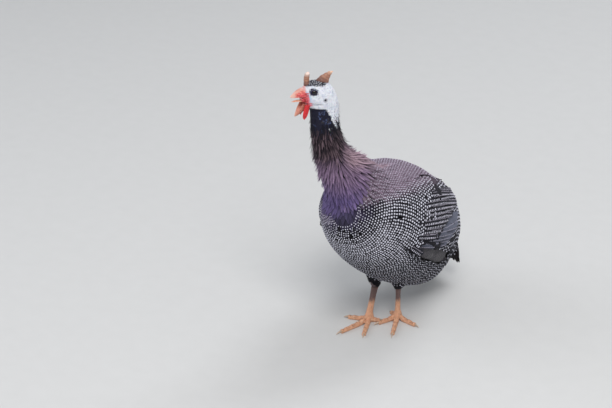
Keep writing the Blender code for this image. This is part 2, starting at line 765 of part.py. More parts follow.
def make_foot(name, side, foot, turn, parts, cutters):
    """The four toes round the ankle, cut flat where they stand."""
    ahead = toe_way(turn, side, 0.0)
    across = UP.cross(ahead)
    rows = [ring(foot + UP * height, across, ahead, wide, deep, 12) for height, wide, deep in ANKLE_LEVELS]
    sole = loft(name, rows, parts)
    toes = []
    for toe in TOES:
        angle, length = toe_size(toe, side)
        way = toe_way(turn, side, angle)
        path = []
        radii = []
        steps = max(4, round(2.0 * length / TOE_JOINT_LENGTH))
        for index in range(steps + 1):
            share = index / steps
            radius = toe_radius(share, length)
            lift = TOE_ARCH * (1.0 - smoothstep(0.0, 0.35, share))
            path.append(foot + way * (0.001 + length * share) + UP * (radius * TOE_SUNK + lift))
            radii.append(radius)
        toes.append(tube("toe", path, radii, 8, cutters, UP.cross(way)))
    fused(sole, toes, cutters)
    return cut_flat(sole, Vector((0.0, 0.0, 0.0)), -UP, cutters)


def make_claw(name, side, foot, turn, toe, parts, cutters, others):
    """A curved claw that runs on from the end of its toe and comes down to the floor."""
    angle, length = toe_size(toe, side)
    claw = toe[5]
    way = toe_way(turn, side, angle)
    across = UP.cross(way)
    start = foot + way * (length - CLAW_OVERLAP)
    reach = claw + CLAW_OVERLAP
    rows = []
    for index in range(CLAW_ROWS):
        share = index / CLAW_ROWS
        radius = TOE_END_RADIUS * (0.84 - 0.70 * share)
        height = CLAW_HEIGHT + CLAW_ARCH * (math.sin(math.pi * share) - 2.0 * share**2)
        rows.append(ring(start + way * (reach * share) + UP * height, across, UP, radius * 0.8, radius, 8))
    rows.append([start + way * reach + UP * CLAW_TIP_HEIGHT])
    return cut_by(loft(name, rows, parts), others, cutters)


def vane(name, place, half_width, lean, collection):
    """A feather's blade, thin and closed. place(share, side, rise) gives a point: share runs from
    root to tip, side across the blade in metres and rise out from it."""
    vertices = []
    for share, width in VANE_STATIONS:
        half = half_width * width
        thick = VANE_THICKNESS / 2.0
        for side in (-half, 0.0, half):
            vertices.append(place(share, side, lean * side / half_width + thick))
        for side in (half, 0.0, -half):
            vertices.append(place(share, side, lean * side / half_width - thick))
    tip = len(vertices)
    vertices.append(place(1.0, 0.0, 0.0))
    section = 6
    faces = [(0, 1, 4), (0, 4, 5), (1, 2, 3), (1, 3, 4)]
    rows = len(VANE_STATIONS)
    for row in range(rows - 1):
        for k in range(section):
            a = row * section + k
            b = row * section + (k + 1) % section
            c, d = b + section, a + section
            # The under face is split along the same diagonals as the upper one.
            faces += [(a, b, c), (a, c, d)] if k < 3 else [(a, b, d), (b, c, d)]
    for k in range(section):
        faces.append(((rows - 1) * section + k, (rows - 1) * section + (k + 1) % section, tip))
    return new_object(name, vertices, faces, collection)


def tail_point(share, x, rise):
    """A point of the tail: share runs from root to tip, x to the left, rise out of its upper face."""
    way = (TAIL_TIP - TAIL_ROOT).normalized()
    out = LEFT.cross(way)
    bent = rise - TAIL_CURVE * (x / TAIL_TIP_HALF) ** 2
    return TAIL_ROOT.lerp(TAIL_TIP, share) + LEFT * x + out * bent


def make_tail(parts, cutters, torso, chance):
    rows = []
    steps = 4
    for index in range(steps + 1):
        share = TAIL_STUB * index / steps
        half = TAIL_ROOT_HALF + (TAIL_TIP_HALF - TAIL_ROOT_HALF) * share
        thick = TAIL_STUB_THICKNESS[0] + (TAIL_STUB_THICKNESS[1] - TAIL_STUB_THICKNESS[0]) * index / steps
        row = []
        for k in range(TAIL_STUB_SIDES):
            angle = 2.0 * math.pi * k / TAIL_STUB_SIDES
            row.append(tail_point(share, half * math.cos(angle), thick * (math.sin(angle) - 0.4)))
        rows.append(row)
    stub = loft("tail", rows, parts)
    feathers = []
    for count, root, tip, root_spread, tip_spread, height, step, half_width in TAIL_TIERS:
        for k in range(count):
            middle = (count - 1) / 2.0
            aside = (k - middle) / middle
            end = tip * (1.0 - 0.04 * aside**2) + chance.uniform(-0.01, 0.01)
            level = height - step * abs(k - middle)

            def place(share, side, rise, aside=aside, end=end, level=level):
                spread = root_spread * TAIL_ROOT_HALF * (1.0 - share) + tip_spread * TAIL_TIP_HALF * share
                return tail_point(root + (end - root) * share, aside * spread + side, level + rise)

            feathers.append(vane("tail_feather", place, half_width, 0.0, cutters))
    fused(stub, feathers, cutters)
    return cut_by(stub, [torso], cutters)


def wing_spread(share):
    """The wing's upper and lower edge at a share of the wing's own length, as angles from the back."""
    if share < WING_FULL_FROM:
        reach = math.sqrt(max(0.0, 1.0 - ((WING_FULL_FROM - share) / WING_FULL_FROM) ** 2))
    else:
        reach = math.sqrt(max(0.0, 1.0 - ((share - WING_FULL_FROM) / (1.0 - WING_FULL_FROM)) ** 2.6))
    middle = WING_MIDDLE_ANGLE + (WING_TIP_ANGLE - WING_MIDDLE_ANGLE) * share
    return middle - reach * (middle - WING_TOP_ANGLE), middle + reach * (WING_LOW_ANGLE - middle)


def wing_place(along_body, down):
    """The angle on the body of a place in the wing: down runs from its upper to its lower edge."""
    top, low = wing_spread((along_body - WING_START) / (WING_END - WING_START))
    return top + (low - top) * down


def make_wing(name, side, parts, cutters, others, chance):
    """The folded wing: a pad on the side of the body, sunk and cut to fit, with tiers of feathers."""
    rows = [[body_point(WING_START, side * WING_MIDDLE_ANGLE, 0.0)]]
    for index in range(1, WING_ROWS + 1):
        share = 1.0 - math.cos(0.5 * math.pi * index / WING_ROWS)
        along_body = WING_START + (WING_PAD_END - WING_START) * share
        fall = 1.0 - smoothstep(0.45, 1.0, share)
        rise = smoothstep(-0.1, 0.25, share)
        row = []
        for k in range(WING_OUTER + 1):
            down = k / WING_OUTER
            dome = (1.0 - (2.0 * down - 1.0) ** 4) ** 0.5
            thick = (WING_EDGE + (WING_THICKNESS - WING_EDGE) * dome * rise) * fall
            row.append(body_point(along_body, side * wing_place(along_body, down), thick))
        for k in range(WING_INNER, -1, -1):
            angle = side * wing_place(along_body, k / WING_INNER)
            row.append(body_point(along_body, angle, -WING_SUNK))
        rows.append(row)
    pad = loft(name, rows, parts)
    feathers = []
    for count, root, first_tip, last_tip, first, last, root_height, tip_height, half_width, lean in WING_TIERS:
        for k in range(count):
            down = first + (last - first) * k / (count - 1)
            end = first_tip + (last_tip - first_tip) * k / (count - 1) + chance.uniform(-0.008, 0.008)

            def place(share, across, rise, down=down, end=end):
                along_body = root + (end - root) * share
                reach = BODY_HALF_WIDTH * max(0.35, bulge(along_body, BODY_PEAK, 1.0, 0.95))
                angle = wing_place(min(along_body, WING_FAN_END), down) + across / reach
                height = root_height + (tip_height - root_height) * smoothstep(0.0, 0.8, share)
                return body_point(along_body, side * angle, height + rise)

            feathers.append(vane("wing_feather", place, half_width, lean, cutters))
    fused(pad, feathers, cutters, "MANIFOLD")
    return cut_by(pad, others, cutters)


def centred_on_floor(parts):
    """Moves every piece so that the origin lies in the middle of the outline seen from above."""
    corners = np.array([tuple(v.co) for piece in parts.objects for v in piece.data.vertices])
    middle = (corners.min(axis=0) + corners.max(axis=0)) / 2.0
    shift = Matrix.Translation((-middle[0], -middle[1], 0.0))
    for piece in parts.objects:
        piece.data.transform(shift)


def make_all():
    for old in list(bpy.data.objects):
        bpy.data.objects.remove(old)
    scene = bpy.context.scene.collection
    parts = bpy.data.collections.new("guinea_fowl")
    cutters = bpy.data.collections.new("cutters")
    scene.children.link(parts)
    scene.children.link(cutters)
    chance = random.Random(FEATHER_SEED)
    torso = finish(make_torso(parts), PLUMAGE, 0.8)
    neck = make_neck(parts)
    cut_by(neck, [torso], cutters)
    finish(neck, NECK_PLUMAGE, 0.8)
    head = finish(make_head(parts, cutters), FACE, 0.6)
    upper = finish(make_upper_bill(parts, cutters, head), BILL, 0.45)
    lower = finish(make_lower_bill(parts, cutters, head), BILL, 0.45)
    tongue = finish(make_tongue(parts, cutters, [head, upper, lower]), TONGUE, 0.35)
    for name, path, lengths, widths in (
        ("casque", CASQUE_PATH, CASQUE_HALF_LENGTHS, CASQUE_HALF_WIDTHS),
        ("brow_knob", KNOB_PATH, KNOB_HALVES, KNOB_HALVES),
    ):
        finish(make_horn(name, path, lengths, widths, parts, cutters, [head, upper]), HORN, 0.5)
    tail = finish(make_tail(parts, cutters, torso, chance), PLUMAGE, 0.8)
    for end, side in (("left", 1), ("right", -1)):
        finish(make_eye("eye_" + end, side, parts), EYE, 0.1)
        gape = [head, upper, lower, tongue]
        finish(make_wattle("wattle_" + end, side, parts, cutters, gape), RED, 0.5)
        foot = FOOT_LEFT if side > 0 else FOOT_RIGHT
        hock = HOCK_LEFT if side > 0 else HOCK_RIGHT
        turn = FOOT_TURN_LEFT if side > 0 else FOOT_TURN_RIGHT
        thigh = finish(make_thigh("thigh_" + end, side, hock, parts, cutters, [torso]), PLUMAGE, 0.8)
        finish(make_shank("shank_" + end, side, foot, turn, hock, parts), SHANK, 0.6)
        sole = finish(make_foot("foot_" + end, side, foot, turn, parts, cutters), LEG, 0.6)
        for toe in TOES:
            claw = make_claw(f"claw_{end}_{toe[0]}", side, foot, turn, toe, parts, cutters, [sole])
            finish(claw, CLAW, 0.4)
        near = [torso, neck, tail, thigh]
        finish(make_wing("wing_" + end, side, parts, cutters, near, chance), PLUMAGE, 0.8)
    centred_on_floor(parts)
    bpy.data.collections.remove(cutters)


make_all()
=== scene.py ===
"""The looks of a helmeted guinea fowl: its skin, plumage, head and legs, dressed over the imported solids.

Metres, +Z up, in the frame of the solids. The bird faces -Y and its left side is +X.
"""

import sys
import logging
import math
from dataclasses import dataclass, field
from enum import Enum
from typing import Callable, Sequence

import bpy
import numpy as np
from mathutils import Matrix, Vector, noise
from mathutils.bvhtree import BVHTree


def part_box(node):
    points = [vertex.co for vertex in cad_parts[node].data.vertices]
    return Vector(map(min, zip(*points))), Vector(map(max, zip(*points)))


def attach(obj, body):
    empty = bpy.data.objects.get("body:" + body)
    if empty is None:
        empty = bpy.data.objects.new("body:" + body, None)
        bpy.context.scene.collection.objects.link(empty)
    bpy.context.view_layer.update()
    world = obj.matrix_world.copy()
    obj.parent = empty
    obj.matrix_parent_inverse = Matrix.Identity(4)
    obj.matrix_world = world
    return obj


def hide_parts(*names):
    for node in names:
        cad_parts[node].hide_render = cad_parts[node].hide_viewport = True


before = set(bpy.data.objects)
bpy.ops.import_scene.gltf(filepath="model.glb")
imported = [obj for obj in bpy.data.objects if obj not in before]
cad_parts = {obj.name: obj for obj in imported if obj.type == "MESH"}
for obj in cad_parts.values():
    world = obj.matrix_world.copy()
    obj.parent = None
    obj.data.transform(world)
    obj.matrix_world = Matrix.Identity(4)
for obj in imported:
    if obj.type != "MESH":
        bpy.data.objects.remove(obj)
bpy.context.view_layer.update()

REPORT = logging.getLogger("guinea_fowl")
UP = Vector((0.0, 0.0, 1.0))
LEFT = Vector((1.0, 0.0, 0.0))
FRONT = Vector((0.0, -1.0, 0.0))
SEED = 11

Colour = tuple[float, float, float]
Reading = "Signal | float | int | tuple"
Push = Callable[[Vector, Vector], Vector]
Shade = Callable[[np.ndarray, float], np.ndarray]
Chart = Callable[[Vector], tuple[float, float]]
Stop = tuple[Vector, Vector, Vector]
Material, Mesh, Piece = bpy.types.Material, bpy.types.Mesh, bpy.types.Object


class Side(Enum):
    """The bird's two sides, with the sign of X on each."""

    LEFT = 1
    RIGHT = -1

    @property
    def end(self) -> str:
        """The side's word in a node's name."""
        return self.name.lower()


class Outline(Enum):
    """A feather's outline: how far along it its cross-sections lie, and how wide each is."""

    ROUND = ((0.0, 0.34), (0.26, 0.74), (0.52, 1.0), (0.76, 0.94), (0.92, 0.60), (0.985, 0.24))
    PLUME = ((0.0, 0.45), (0.25, 0.90), (0.50, 1.0), (0.72, 0.78), (0.90, 0.40), (0.98, 0.14))
    FLIGHT = ((0.0, 0.50), (0.22, 0.80), (0.48, 1.0), (0.74, 1.0), (0.91, 0.74), (0.98, 0.34))
    HAIR = ((0.0, 1.0), (0.30, 0.85), (0.60, 0.60), (0.85, 0.30))

    @property
    def shares(self) -> tuple[float, ...]:
        """How far along the feather each cross-section lies."""
        return tuple(share for share, _ in self.value)


def smoothstep(low: float, high: float, value):
    """0 below low, 1 above high, eased between them; works on numbers and arrays."""
    share = np.clip((np.asarray(value, float) - low) / (high - low), 0.0, 1.0)
    return share * share * (3.0 - 2.0 * share)


def eased(low: float, high: float, value: float) -> float:
    """The same for one number, as a plain number."""
    return float(smoothstep(low, high, value))


def blend(first: Sequence[float], second: Sequence[float], share) -> np.ndarray:
    """A colour between two colours, for one share or an array of them."""
    share = np.asarray(share, float)[..., None]
    return np.asarray(first, float) * (1.0 - share) + np.asarray(second, float) * share


def middle(*nodes: str) -> Vector:
    """The middle of the box round some CAD nodes."""
    lows, highs = zip(*(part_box(node) for node in nodes))
    low = Vector([min(corner[k] for corner in lows) for k in range(3)])
    high = Vector([max(corner[k] for corner in highs) for k in range(3)])
    return (low + high) / 2.0


class Signal:
    """A value socket of a material, for maths written as Python expressions."""

    def __init__(self, tree: bpy.types.NodeTree, socket: bpy.types.NodeSocket) -> None:
        """Wraps an output socket of a node tree."""
        self.tree = tree
        self.socket = socket

    def maths(self, operation: str, *values: Reading, clamp: bool = False) -> "Signal":
        """Adds a Math node.

        Args:
            operation: the Math node's operation.
            values: its inputs in order, as signals or numbers.
            clamp: whether the result is kept between 0 and 1.

        Returns:
            The node's result.
        """
        node = self.tree.nodes.new("ShaderNodeMath")
        node.operation = operation
        node.use_clamp = clamp
        for socket, value in zip(node.inputs, values):
            if isinstance(value, Signal):
                self.tree.links.new(value.socket, socket)
            else:
                socket.default_value = value
        return Signal(self.tree, node.outputs[0])

    def __add__(self, other: Reading) -> "Signal":
        """self + other."""
        return self.maths("ADD", self, other)

    def __radd__(self, other: Reading) -> "Signal":
        """other + self."""
        return self.maths("ADD", other, self)

    def __sub__(self, other: Reading) -> "Signal":
        """self - other."""
        return self.maths("SUBTRACT", self, other)

    def __rsub__(self, other: Reading) -> "Signal":
        """other - self."""
        return self.maths("SUBTRACT", other, self)

    def __mul__(self, other: Reading) -> "Signal":
        """self * other."""
        return self.maths("MULTIPLY", self, other)

    def __rmul__(self, other: Reading) -> "Signal":
        """other * self."""
        return self.maths("MULTIPLY", other, self)

    def __pow__(self, power: float) -> "Signal":
        """self raised to a power."""
        return self.maths("POWER", self, power)

    def __abs__(self) -> "Signal":
        """The value without its sign."""
        return self.maths("ABSOLUTE", self)

    def sine(self) -> "Signal":
        """The sine of the value."""
        return self.maths("SINE", self)

    def most(self, other: Reading) -> "Signal":
        """The larger of two values."""
        return self.maths("MAXIMUM", self, other)

    def clamped(self) -> "Signal":
        """The value kept between 0 and 1."""
        return self.maths("ADD", self, 0.0, clamp=True)

    def ease(self, low: float, high: float) -> "Signal":
        """0 where the value is at low, 1 at high, eased between them; low may be above high."""
        share = self.maths("MULTIPLY_ADD", self, 1.0 / (high - low), -low / (high - low), clamp=True)
        return share * share * (3.0 - 2.0 * share)


class Paint:
    """A material's node tree, with one method for every kind of node."""

    def __init__(self, name: str) -> None:
        """Starts a material with its Principled shader."""
        self.material = bpy.data.materials.new(name)
        self.material.use_nodes = True
        self.tree = self.material.node_tree
        self.shader = self.tree.nodes["Principled BSDF"]

    def node(self, kind: str, settings: dict | None = None, inputs: dict | None = None, output=0) -> Signal:
        """Adds any node.

        Args:
            kind: the node's type.
            settings: its properties, set before its sockets.
            inputs: values or signals by socket name or index.
            output: the name or index of the socket to return.

        Returns:
            The chosen output.
        """
        node = self.tree.nodes.new(kind)
        for key, value in (settings or {}).items():
            setattr(node, key, value)
        for key, value in (inputs or {}).items():
            self.put(node.inputs[key], value)
        return Signal(self.tree, node.outputs[output])

    def put(self, socket: bpy.types.NodeSocket, value: Reading) -> None:
        """Links a signal to a socket, or sets the socket's own value."""
        if isinstance(value, Signal):
            self.tree.links.new(value.socket, socket)
        elif socket.type == "RGBA" and len(value) == 3:
            socket.default_value = (*value, 1.0)
        else:
            socket.default_value = value

    def set(self, **values: Reading) -> None:
        """Sets the shader's sockets, with _ for a space in their names."""
        for key, value in values.items():
            self.put(self.shader.inputs[key.replace("_", " ")], value)

    def place(self) -> Signal:
        """The place on the object, in metres."""
        return self.node("ShaderNodeTexCoord", output="Object")

    def attribute(self, name: str, output: str = "Color") -> Signal:
        """A named attribute of the mesh."""
        return self.node("ShaderNodeAttribute", {"attribute_name": name}, output=output)

    def noise(self, scale: float, detail: float = 3.0, rough: float = 0.5) -> Signal:
        """Noise around 0.5 over the object, at a scale in cells a metre."""
        where = {"Vector": self.place(), "Scale": scale, "Detail": detail, "Roughness": rough}
        return self.node("ShaderNodeTexNoise", inputs=where, output="Fac")

    def cells(self, scale: float, feature: str = "F1") -> Signal:
        """Distances in a cell pattern over the object."""
        where = {"Vector": self.place(), "Scale": scale}
        return self.node("ShaderNodeTexVoronoi", {"feature": feature}, where, output="Distance")

    def along(self, way: Sequence[float], origin: Sequence[float]) -> Signal:
        """How far the place lies from an origin along a direction, in metres."""
        apart = self.node(
            "ShaderNodeVectorMath", {"operation": "SUBTRACT"}, {0: self.place(), 1: tuple(origin)}
        )
        ends = {0: apart, 1: tuple(way)}
        return self.node("ShaderNodeVectorMath", {"operation": "DOT_PRODUCT"}, ends, "Value")

    def mix(self, share: Reading, first: Reading, second: Reading, how: str = "MIX") -> Signal:
        """A colour between two colours, or their product."""
        return self.node(
            "ShaderNodeMix", {"data_type": "RGBA", "blend_type": how}, {0: share, 6: first, 7: second}, 2
        )

    def bump(self, height: Signal, depth: float) -> Signal:
        """Relief on the surface, with its depth in metres."""
        inputs = {"Height": height, "Distance": depth, "Strength": 1.0}
        return self.node("ShaderNodeBump", inputs=inputs, output="Normal")


@dataclass(frozen=True)
class BodyForm:
    """The egg-shaped body of the solids, from the same named sizes."""

    shift: Vector
    centre: Vector = field(default_factory=lambda: Vector((0.005, 0.011, 0.1725)))
    length: float = 0.338
    tilt: float = math.radians(28)
    half_width: float = 0.090
    back_height: float = 0.100
    belly_depth: float = 0.099
    peak: float = 0.47
    belly_peak: float = 0.70
    belly_square: float = 0.26
    ends: tuple[float, float] = (0.004, 0.996)

    @property
    def rear(self) -> Vector:
        """The direction of the body's axis, to the tail."""
        return Vector((0.0, math.cos(self.tilt), -math.sin(self.tilt)))

    @property
    def out(self) -> Vector:
        """The direction out of the back."""
        return Vector((0.0, math.sin(self.tilt), math.cos(self.tilt)))

    @staticmethod
    def bulge(share: float, peak: float, front: float, rear: float) -> float:
        """0 at both ends and 1 at the peak, with each flank the fuller the smaller its power is."""
        if share < peak:
            return (1.0 - ((peak - share) / peak) ** 2) ** (0.5 * front)
        return (1.0 - ((share - peak) / (1.0 - peak)) ** 2) ** (0.5 * rear)

    def point(self, share: float, angle: float) -> Vector:
        """A point of the body: share runs from breast to rear, angle from the back down the left side."""
        share = min(max(share, self.ends[0]), self.ends[1])
        wide = self.half_width * self.bulge(share, self.peak, 1.0, 0.95)
        high = self.back_height * self.bulge(share, self.peak - 0.02, 1.0, 1.05)
        deep = self.belly_depth * self.bulge(share, self.belly_peak, 0.95, 0.75)
        tall = high if math.cos(angle) > 0.0 else deep
        below = eased(0.0, 0.4, -math.cos(angle))
        power = 1.0 - self.belly_square * eased(0.55, 0.90, share) * below
        across = math.copysign(abs(math.sin(angle)) ** power, math.sin(angle))
        over = math.copysign(abs(math.cos(angle)) ** power, math.cos(angle))
        return self.axis(share) + LEFT * (wide * across) + self.out * (tall * over)

    def axis(self, share: float) -> Vector:
        """The point of the body's axis at a share of its length."""
        return self.centre + self.shift + self.rear * ((share - 0.5) * self.length)

    def girth(self, share: float) -> float:
        """About how far it is round the body at a share."""
        wide = self.point(share, math.pi / 2).x - self.point(share, -math.pi / 2).x
        tall = (self.point(share, 0.0) - self.point(share, math.pi)).length
        return math.pi * (wide + tall) / 2.0

    def shares(self, point: Vector) -> tuple[float, float]:
        """The share of the body's axis and the angle from the back, 0 to pi, of any point."""
        away = point - self.centre - self.shift
        return away.dot(self.rear) / self.length + 0.5, math.atan2(abs(away.x), away.dot(self.out))


@dataclass(frozen=True)
class NeckForm:
    """The neck of the solids: stations from inside the breast to under the jaw."""

    shift: Vector
    centres: tuple = (
        (0.004, -0.055, 0.215),
        (0.0, -0.092, 0.272),
        (-0.017, -0.127, 0.328),
        (-0.029, -0.136, 0.376),
        (-0.0333, -0.1339, 0.4152),
    )
    halves: tuple = (
        (0.058, 0.058),
        (0.048, 0.050),
        (0.027, 0.031),
        (0.0185, 0.0235),
        (0.0160, 0.0225),
    )
    turn: float = math.radians(42)

    @staticmethod
    def between(stations: Sequence[Sequence[float]], share: float) -> Vector:
        """A smooth curve through evenly spaced stations."""
        rows = [Vector(station) for station in stations]
        last = len(rows) - 1
        place = min(max(share, 0.0), 1.0) * last
        index = min(int(place), last - 1)
        t = place - index
        p1, p2 = rows[index], rows[index + 1]
        p0 = rows[index - 1] if index else p1 * 2.0 - p2
        p3 = rows[index + 2] if index + 2 <= last else p2 * 2.0 - p1
        bend = p0 - p1 * 2.5 + p2 * 2.0 - p3 * 0.5
        return p1 + (p2 - p0) * (0.5 * t) + bend * t * t + ((p1 - p2) * 1.5 + (p3 - p0) * 0.5) * t**3

    def point(self, share: float, angle: float) -> Vector:
        """A point of the neck: share runs from foot to jaw, angle from the front round its left side."""
        turn = self.turn * eased(0.4, 1.0, share)
        ahead = Vector((-math.sin(turn), -math.cos(turn), 0.0))
        way = self.way(share)
        ahead = (ahead - way * ahead.dot(way)).normalized()
        half = self.half(share)
        aside = way.cross(ahead) * -1.0
        centre = self.between(self.centres, share) + self.shift
        return centre + ahead * (half.y * math.cos(angle)) - aside * (half.x * math.sin(angle))

    def half(self, share: float) -> Vector:
        """Half the neck's width, x, and half its depth, y."""
        return self.between([(*pair, 0.0) for pair in self.halves], share)

    def way(self, share: float) -> Vector:
        """The direction up the neck."""
        above = self.between(self.centres, share + 0.02)
        return (above - self.between(self.centres, share - 0.02)).normalized()


@dataclass(frozen=True)
class HeadForm:
    """The head's own frame: x forward along the bill, y to its left, z up, from between the eyes."""

    centre: Vector
    turn: float = math.radians(42)
    eye_side: float = 0.0108
    eye_radius: float = 0.0050
    eye_ahead: float = 0.16
    eye_lift: float = 0.10

    @property
    def forward(self) -> Vector:
        """The direction that the bill points in, on the level."""
        return Vector((-math.sin(self.turn), -math.cos(self.turn), 0.0))

    @property
    def left(self) -> Vector:
        """The direction to the head's left."""
        return UP.cross(self.forward)

    def point(self, x: float, y: float, z: float) -> Vector:
        """A point of the head's frame in the model's frame."""
        return self.centre + self.forward * x + self.left * y + UP * z

    def inside(self, point: Vector) -> Vector:
        """A point of the model's frame in the head's frame."""
        away = point - self.centre
        return Vector((away.dot(self.forward), away.dot(self.left), away.z))

    def eye_centre(self, side: Side) -> Vector:
        """The middle of an eyeball."""
        return self.point(0.0, side.value * self.eye_side, 0.0)

    def eye_pole(self, side: Side) -> Vector:
        """The direction that an eye looks in."""
        return (self.left * side.value + self.forward * self.eye_ahead + UP * self.eye_lift).normalized()

    def eye_point(self, side: Side, polar: float, angle: float, scale: float) -> Vector:
        """A point round an eyeball: polar from where it looks, angle round that, scale in radii."""
        turn = self.eye_pole(side).to_track_quat("Z", "Y").to_matrix()
        level = math.sin(polar)
        local = Vector((level * math.cos(angle), level * math.sin(angle), math.cos(polar)))
        return self.eye_centre(side) + turn @ local * (self.eye_radius * scale)


SOLID_HEAD = Vector((-0.046, -0.148, 0.448))
HEAD = HeadForm(middle("eye_left", "eye_right"))
BODY = BodyForm(HEAD.centre - SOLID_HEAD)
NECK = NeckForm(HEAD.centre - SOLID_HEAD)


def new_piece(name: str, vertices: Sequence, faces: Sequence) -> Piece:
    """A smooth-shaded mesh object in the scene, from arrays or lists of points and faces."""
    mesh = bpy.data.meshes.new(name)
    mesh.from_pydata(np.asarray(vertices, float).tolist(), [], faces)
    mesh.validate()
    mesh.shade_smooth()
    made = bpy.data.objects.new(name, mesh)
    bpy.context.scene.collection.objects.link(made)
    return made


def dress(
    made: Piece, material: Material, replaced: Sequence[str] = (), chart: Chart | None = None
) -> Piece:
    """Args:
        made: the piece, with its final mesh.
        material: what it is made of.
        replaced: the CAD nodes that it stands for.
        chart: its unwrap, where the mesh has no OFBake map of its own yet.

    Returns:
        The same piece.
    """
    made.data.materials.append(material)
    if chart:
        write_map(made.data, "OFBake", np.array([chart(vertex.co) for vertex in made.data.vertices]))
    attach(made, "root")
    if replaced:
        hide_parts(*replaced)
    REPORT.info("%s: %d faces", made.name, len(made.data.polygons))
    return made


def write_map(mesh: Mesh, name: str, flat: np.ndarray) -> None:
    """Gives a mesh a UV map from one place on it for each point."""
    corners = np.empty(len(mesh.loops), np.int32)
    mesh.loops.foreach_get("vertex_index", corners)
    layer = mesh.uv_layers.new(name=name)
    layer.data.foreach_set("uv", flat[corners].astype(np.float32).ravel())


def write_tones(mesh: Mesh, tones: np.ndarray) -> None:
    """Gives a mesh a colour for each point, which its material reads."""
    tint = mesh.color_attributes.new(name="tone", type="FLOAT_COLOR", domain="POINT")
    full = np.column_stack([tones, np.ones(len(tones))])
    tint.data.foreach_set("color", full.astype(np.float32).ravel())


def gather(meshes: Sequence[Mesh], grow: float = 0.0) -> tuple[list, list]:
    """The points of some meshes, pushed out by grow, and their faces."""
    points: list = []
    faces: list = []
    for mesh in meshes:
        start = len(points)
        points.extend(vertex.co + vertex.normal * grow for vertex in mesh.vertices)
        faces.extend([start + k for k in polygon.vertices] for polygon in mesh.polygons)
    return points, faces


def merged_copy(name: str, nodes: Sequence[str], cell: float, smooth: int, grow: float) -> Piece:
    """One closed surface round the copies of some CAD nodes.

    Args:
        name: the new object's name.
        nodes: the CAD nodes that it goes round.
        cell: the size of the remesher's cells.
        smooth: how many rounds of smoothing follow.
        grow: how far each copy is pushed out first, so that the gaps between nodes close.

    Returns:
        The new object, in the scene and not yet dressed.
    """
    made = new_piece(name, *gather([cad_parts[node].data for node in nodes], grow))
    remesh = made.modifiers.new("merge", "REMESH")
    remesh.mode = "VOXEL"
    remesh.voxel_size = cell
    remesh.use_smooth_shade = True
    even = made.modifiers.new("even", "SMOOTH")
    even.factor = 0.5
    even.iterations = smooth
    bpy.context.view_layer.update()
    graph = bpy.context.evaluated_depsgraph_get()
    mesh = bpy.data.meshes.new_from_object(made.evaluated_get(graph))
    coarse = made.data
    made.modifiers.clear()
    made.data = mesh
    bpy.data.meshes.remove(coarse)
    mesh.name = made.name
    return made


def grid_faces(start: int, rows: int, sides: int) -> list[tuple[int, ...]]:
    """The faces between closed rings of points that follow each other from a start."""
    faces = []
    for a in range(start, start + (rows - 1) * sides, sides):
        for k in range(sides):
            after = (k + 1) % sides
            faces.append((a + k, a + sides + k, a + sides + after, a + after))
    return faces


def sculpt(made: Piece, push: Push) -> Piece:
    """Moves each point of a mesh by what push gives for its place and normal."""
    mesh = made.data
    shifts = [push(vertex.co, vertex.normal) for vertex in mesh.vertices]
    for vertex, shift in zip(mesh.vertices, shifts):
        vertex.co += shift
    mesh.update()
    mesh.shade_smooth()
    return made


class Hide:
    """The surface that the coat lies on, which feathers follow and pearls are set on."""

    def __init__(self, *made: Piece) -> None:
        """Takes the surface from mesh objects."""
        self.tree = BVHTree.FromPolygons(*gather([piece.data for piece in made]))

    def nearest(self, point: Vector) -> tuple[Vector, Vector]:
        """The nearest point of the surface and its normal."""
        place, normal, _, _ = self.tree.find_nearest(point)
        return place, normal

    def follow(self, root: Vector, way: Vector, length: float, shares: Sequence[float]) -> list[Stop]:
        """Walks over the surface from a root.

        Args:
            root: where the walk starts, near the surface.
            way: the direction it starts in.
            length: how far it goes.
            shares: the shares of the length at which it stops, rising from 0, with 1 added at the end.

        Returns:
            The place, normal and direction at each stop.
        """
        place, normal = self.nearest(root)
        way = (way - normal * way.dot(normal)).normalized()
        stops = [(place, normal, way)]
        for before, after in zip(shares, (*shares[1:], 1.0)):
            ahead = place + way * (length * (after - before))
            new_place, normal = self.nearest(ahead)
            moved = new_place - place
            place = new_place
            way = moved - normal * moved.dot(normal)
            way = way.normalized() if way.length > 1e-6 else stops[-1][2]
            stops.append((place, normal, way))
        return stops


def locate(shares: Sequence[float], share: float) -> tuple[int, float]:
    """The last stop at or before a share of a walk, and how far on to the next stop the share lies."""
    index = max(i for i, begin in enumerate(shares) if begin <= share)
    return index, (share - shares[index]) / ((*shares, 1.0)[index + 1] - shares[index])


@dataclass
class Feather:
    """One feather as it is laid: where it grows, how large it is and how it is coloured."""

    root: Vector
    way: Vector
    length: float
    half_width: float
    outline: Outline
    tone: Shade
    sunk: float = 0.003
    rise: float = 0.0004
    curl: float = 0.0
    chart: tuple[float, float] = (0.5, 0.5)
    camber: float = 0.16
    lean: float = 0.0
    walk: list[Stop] | None = None


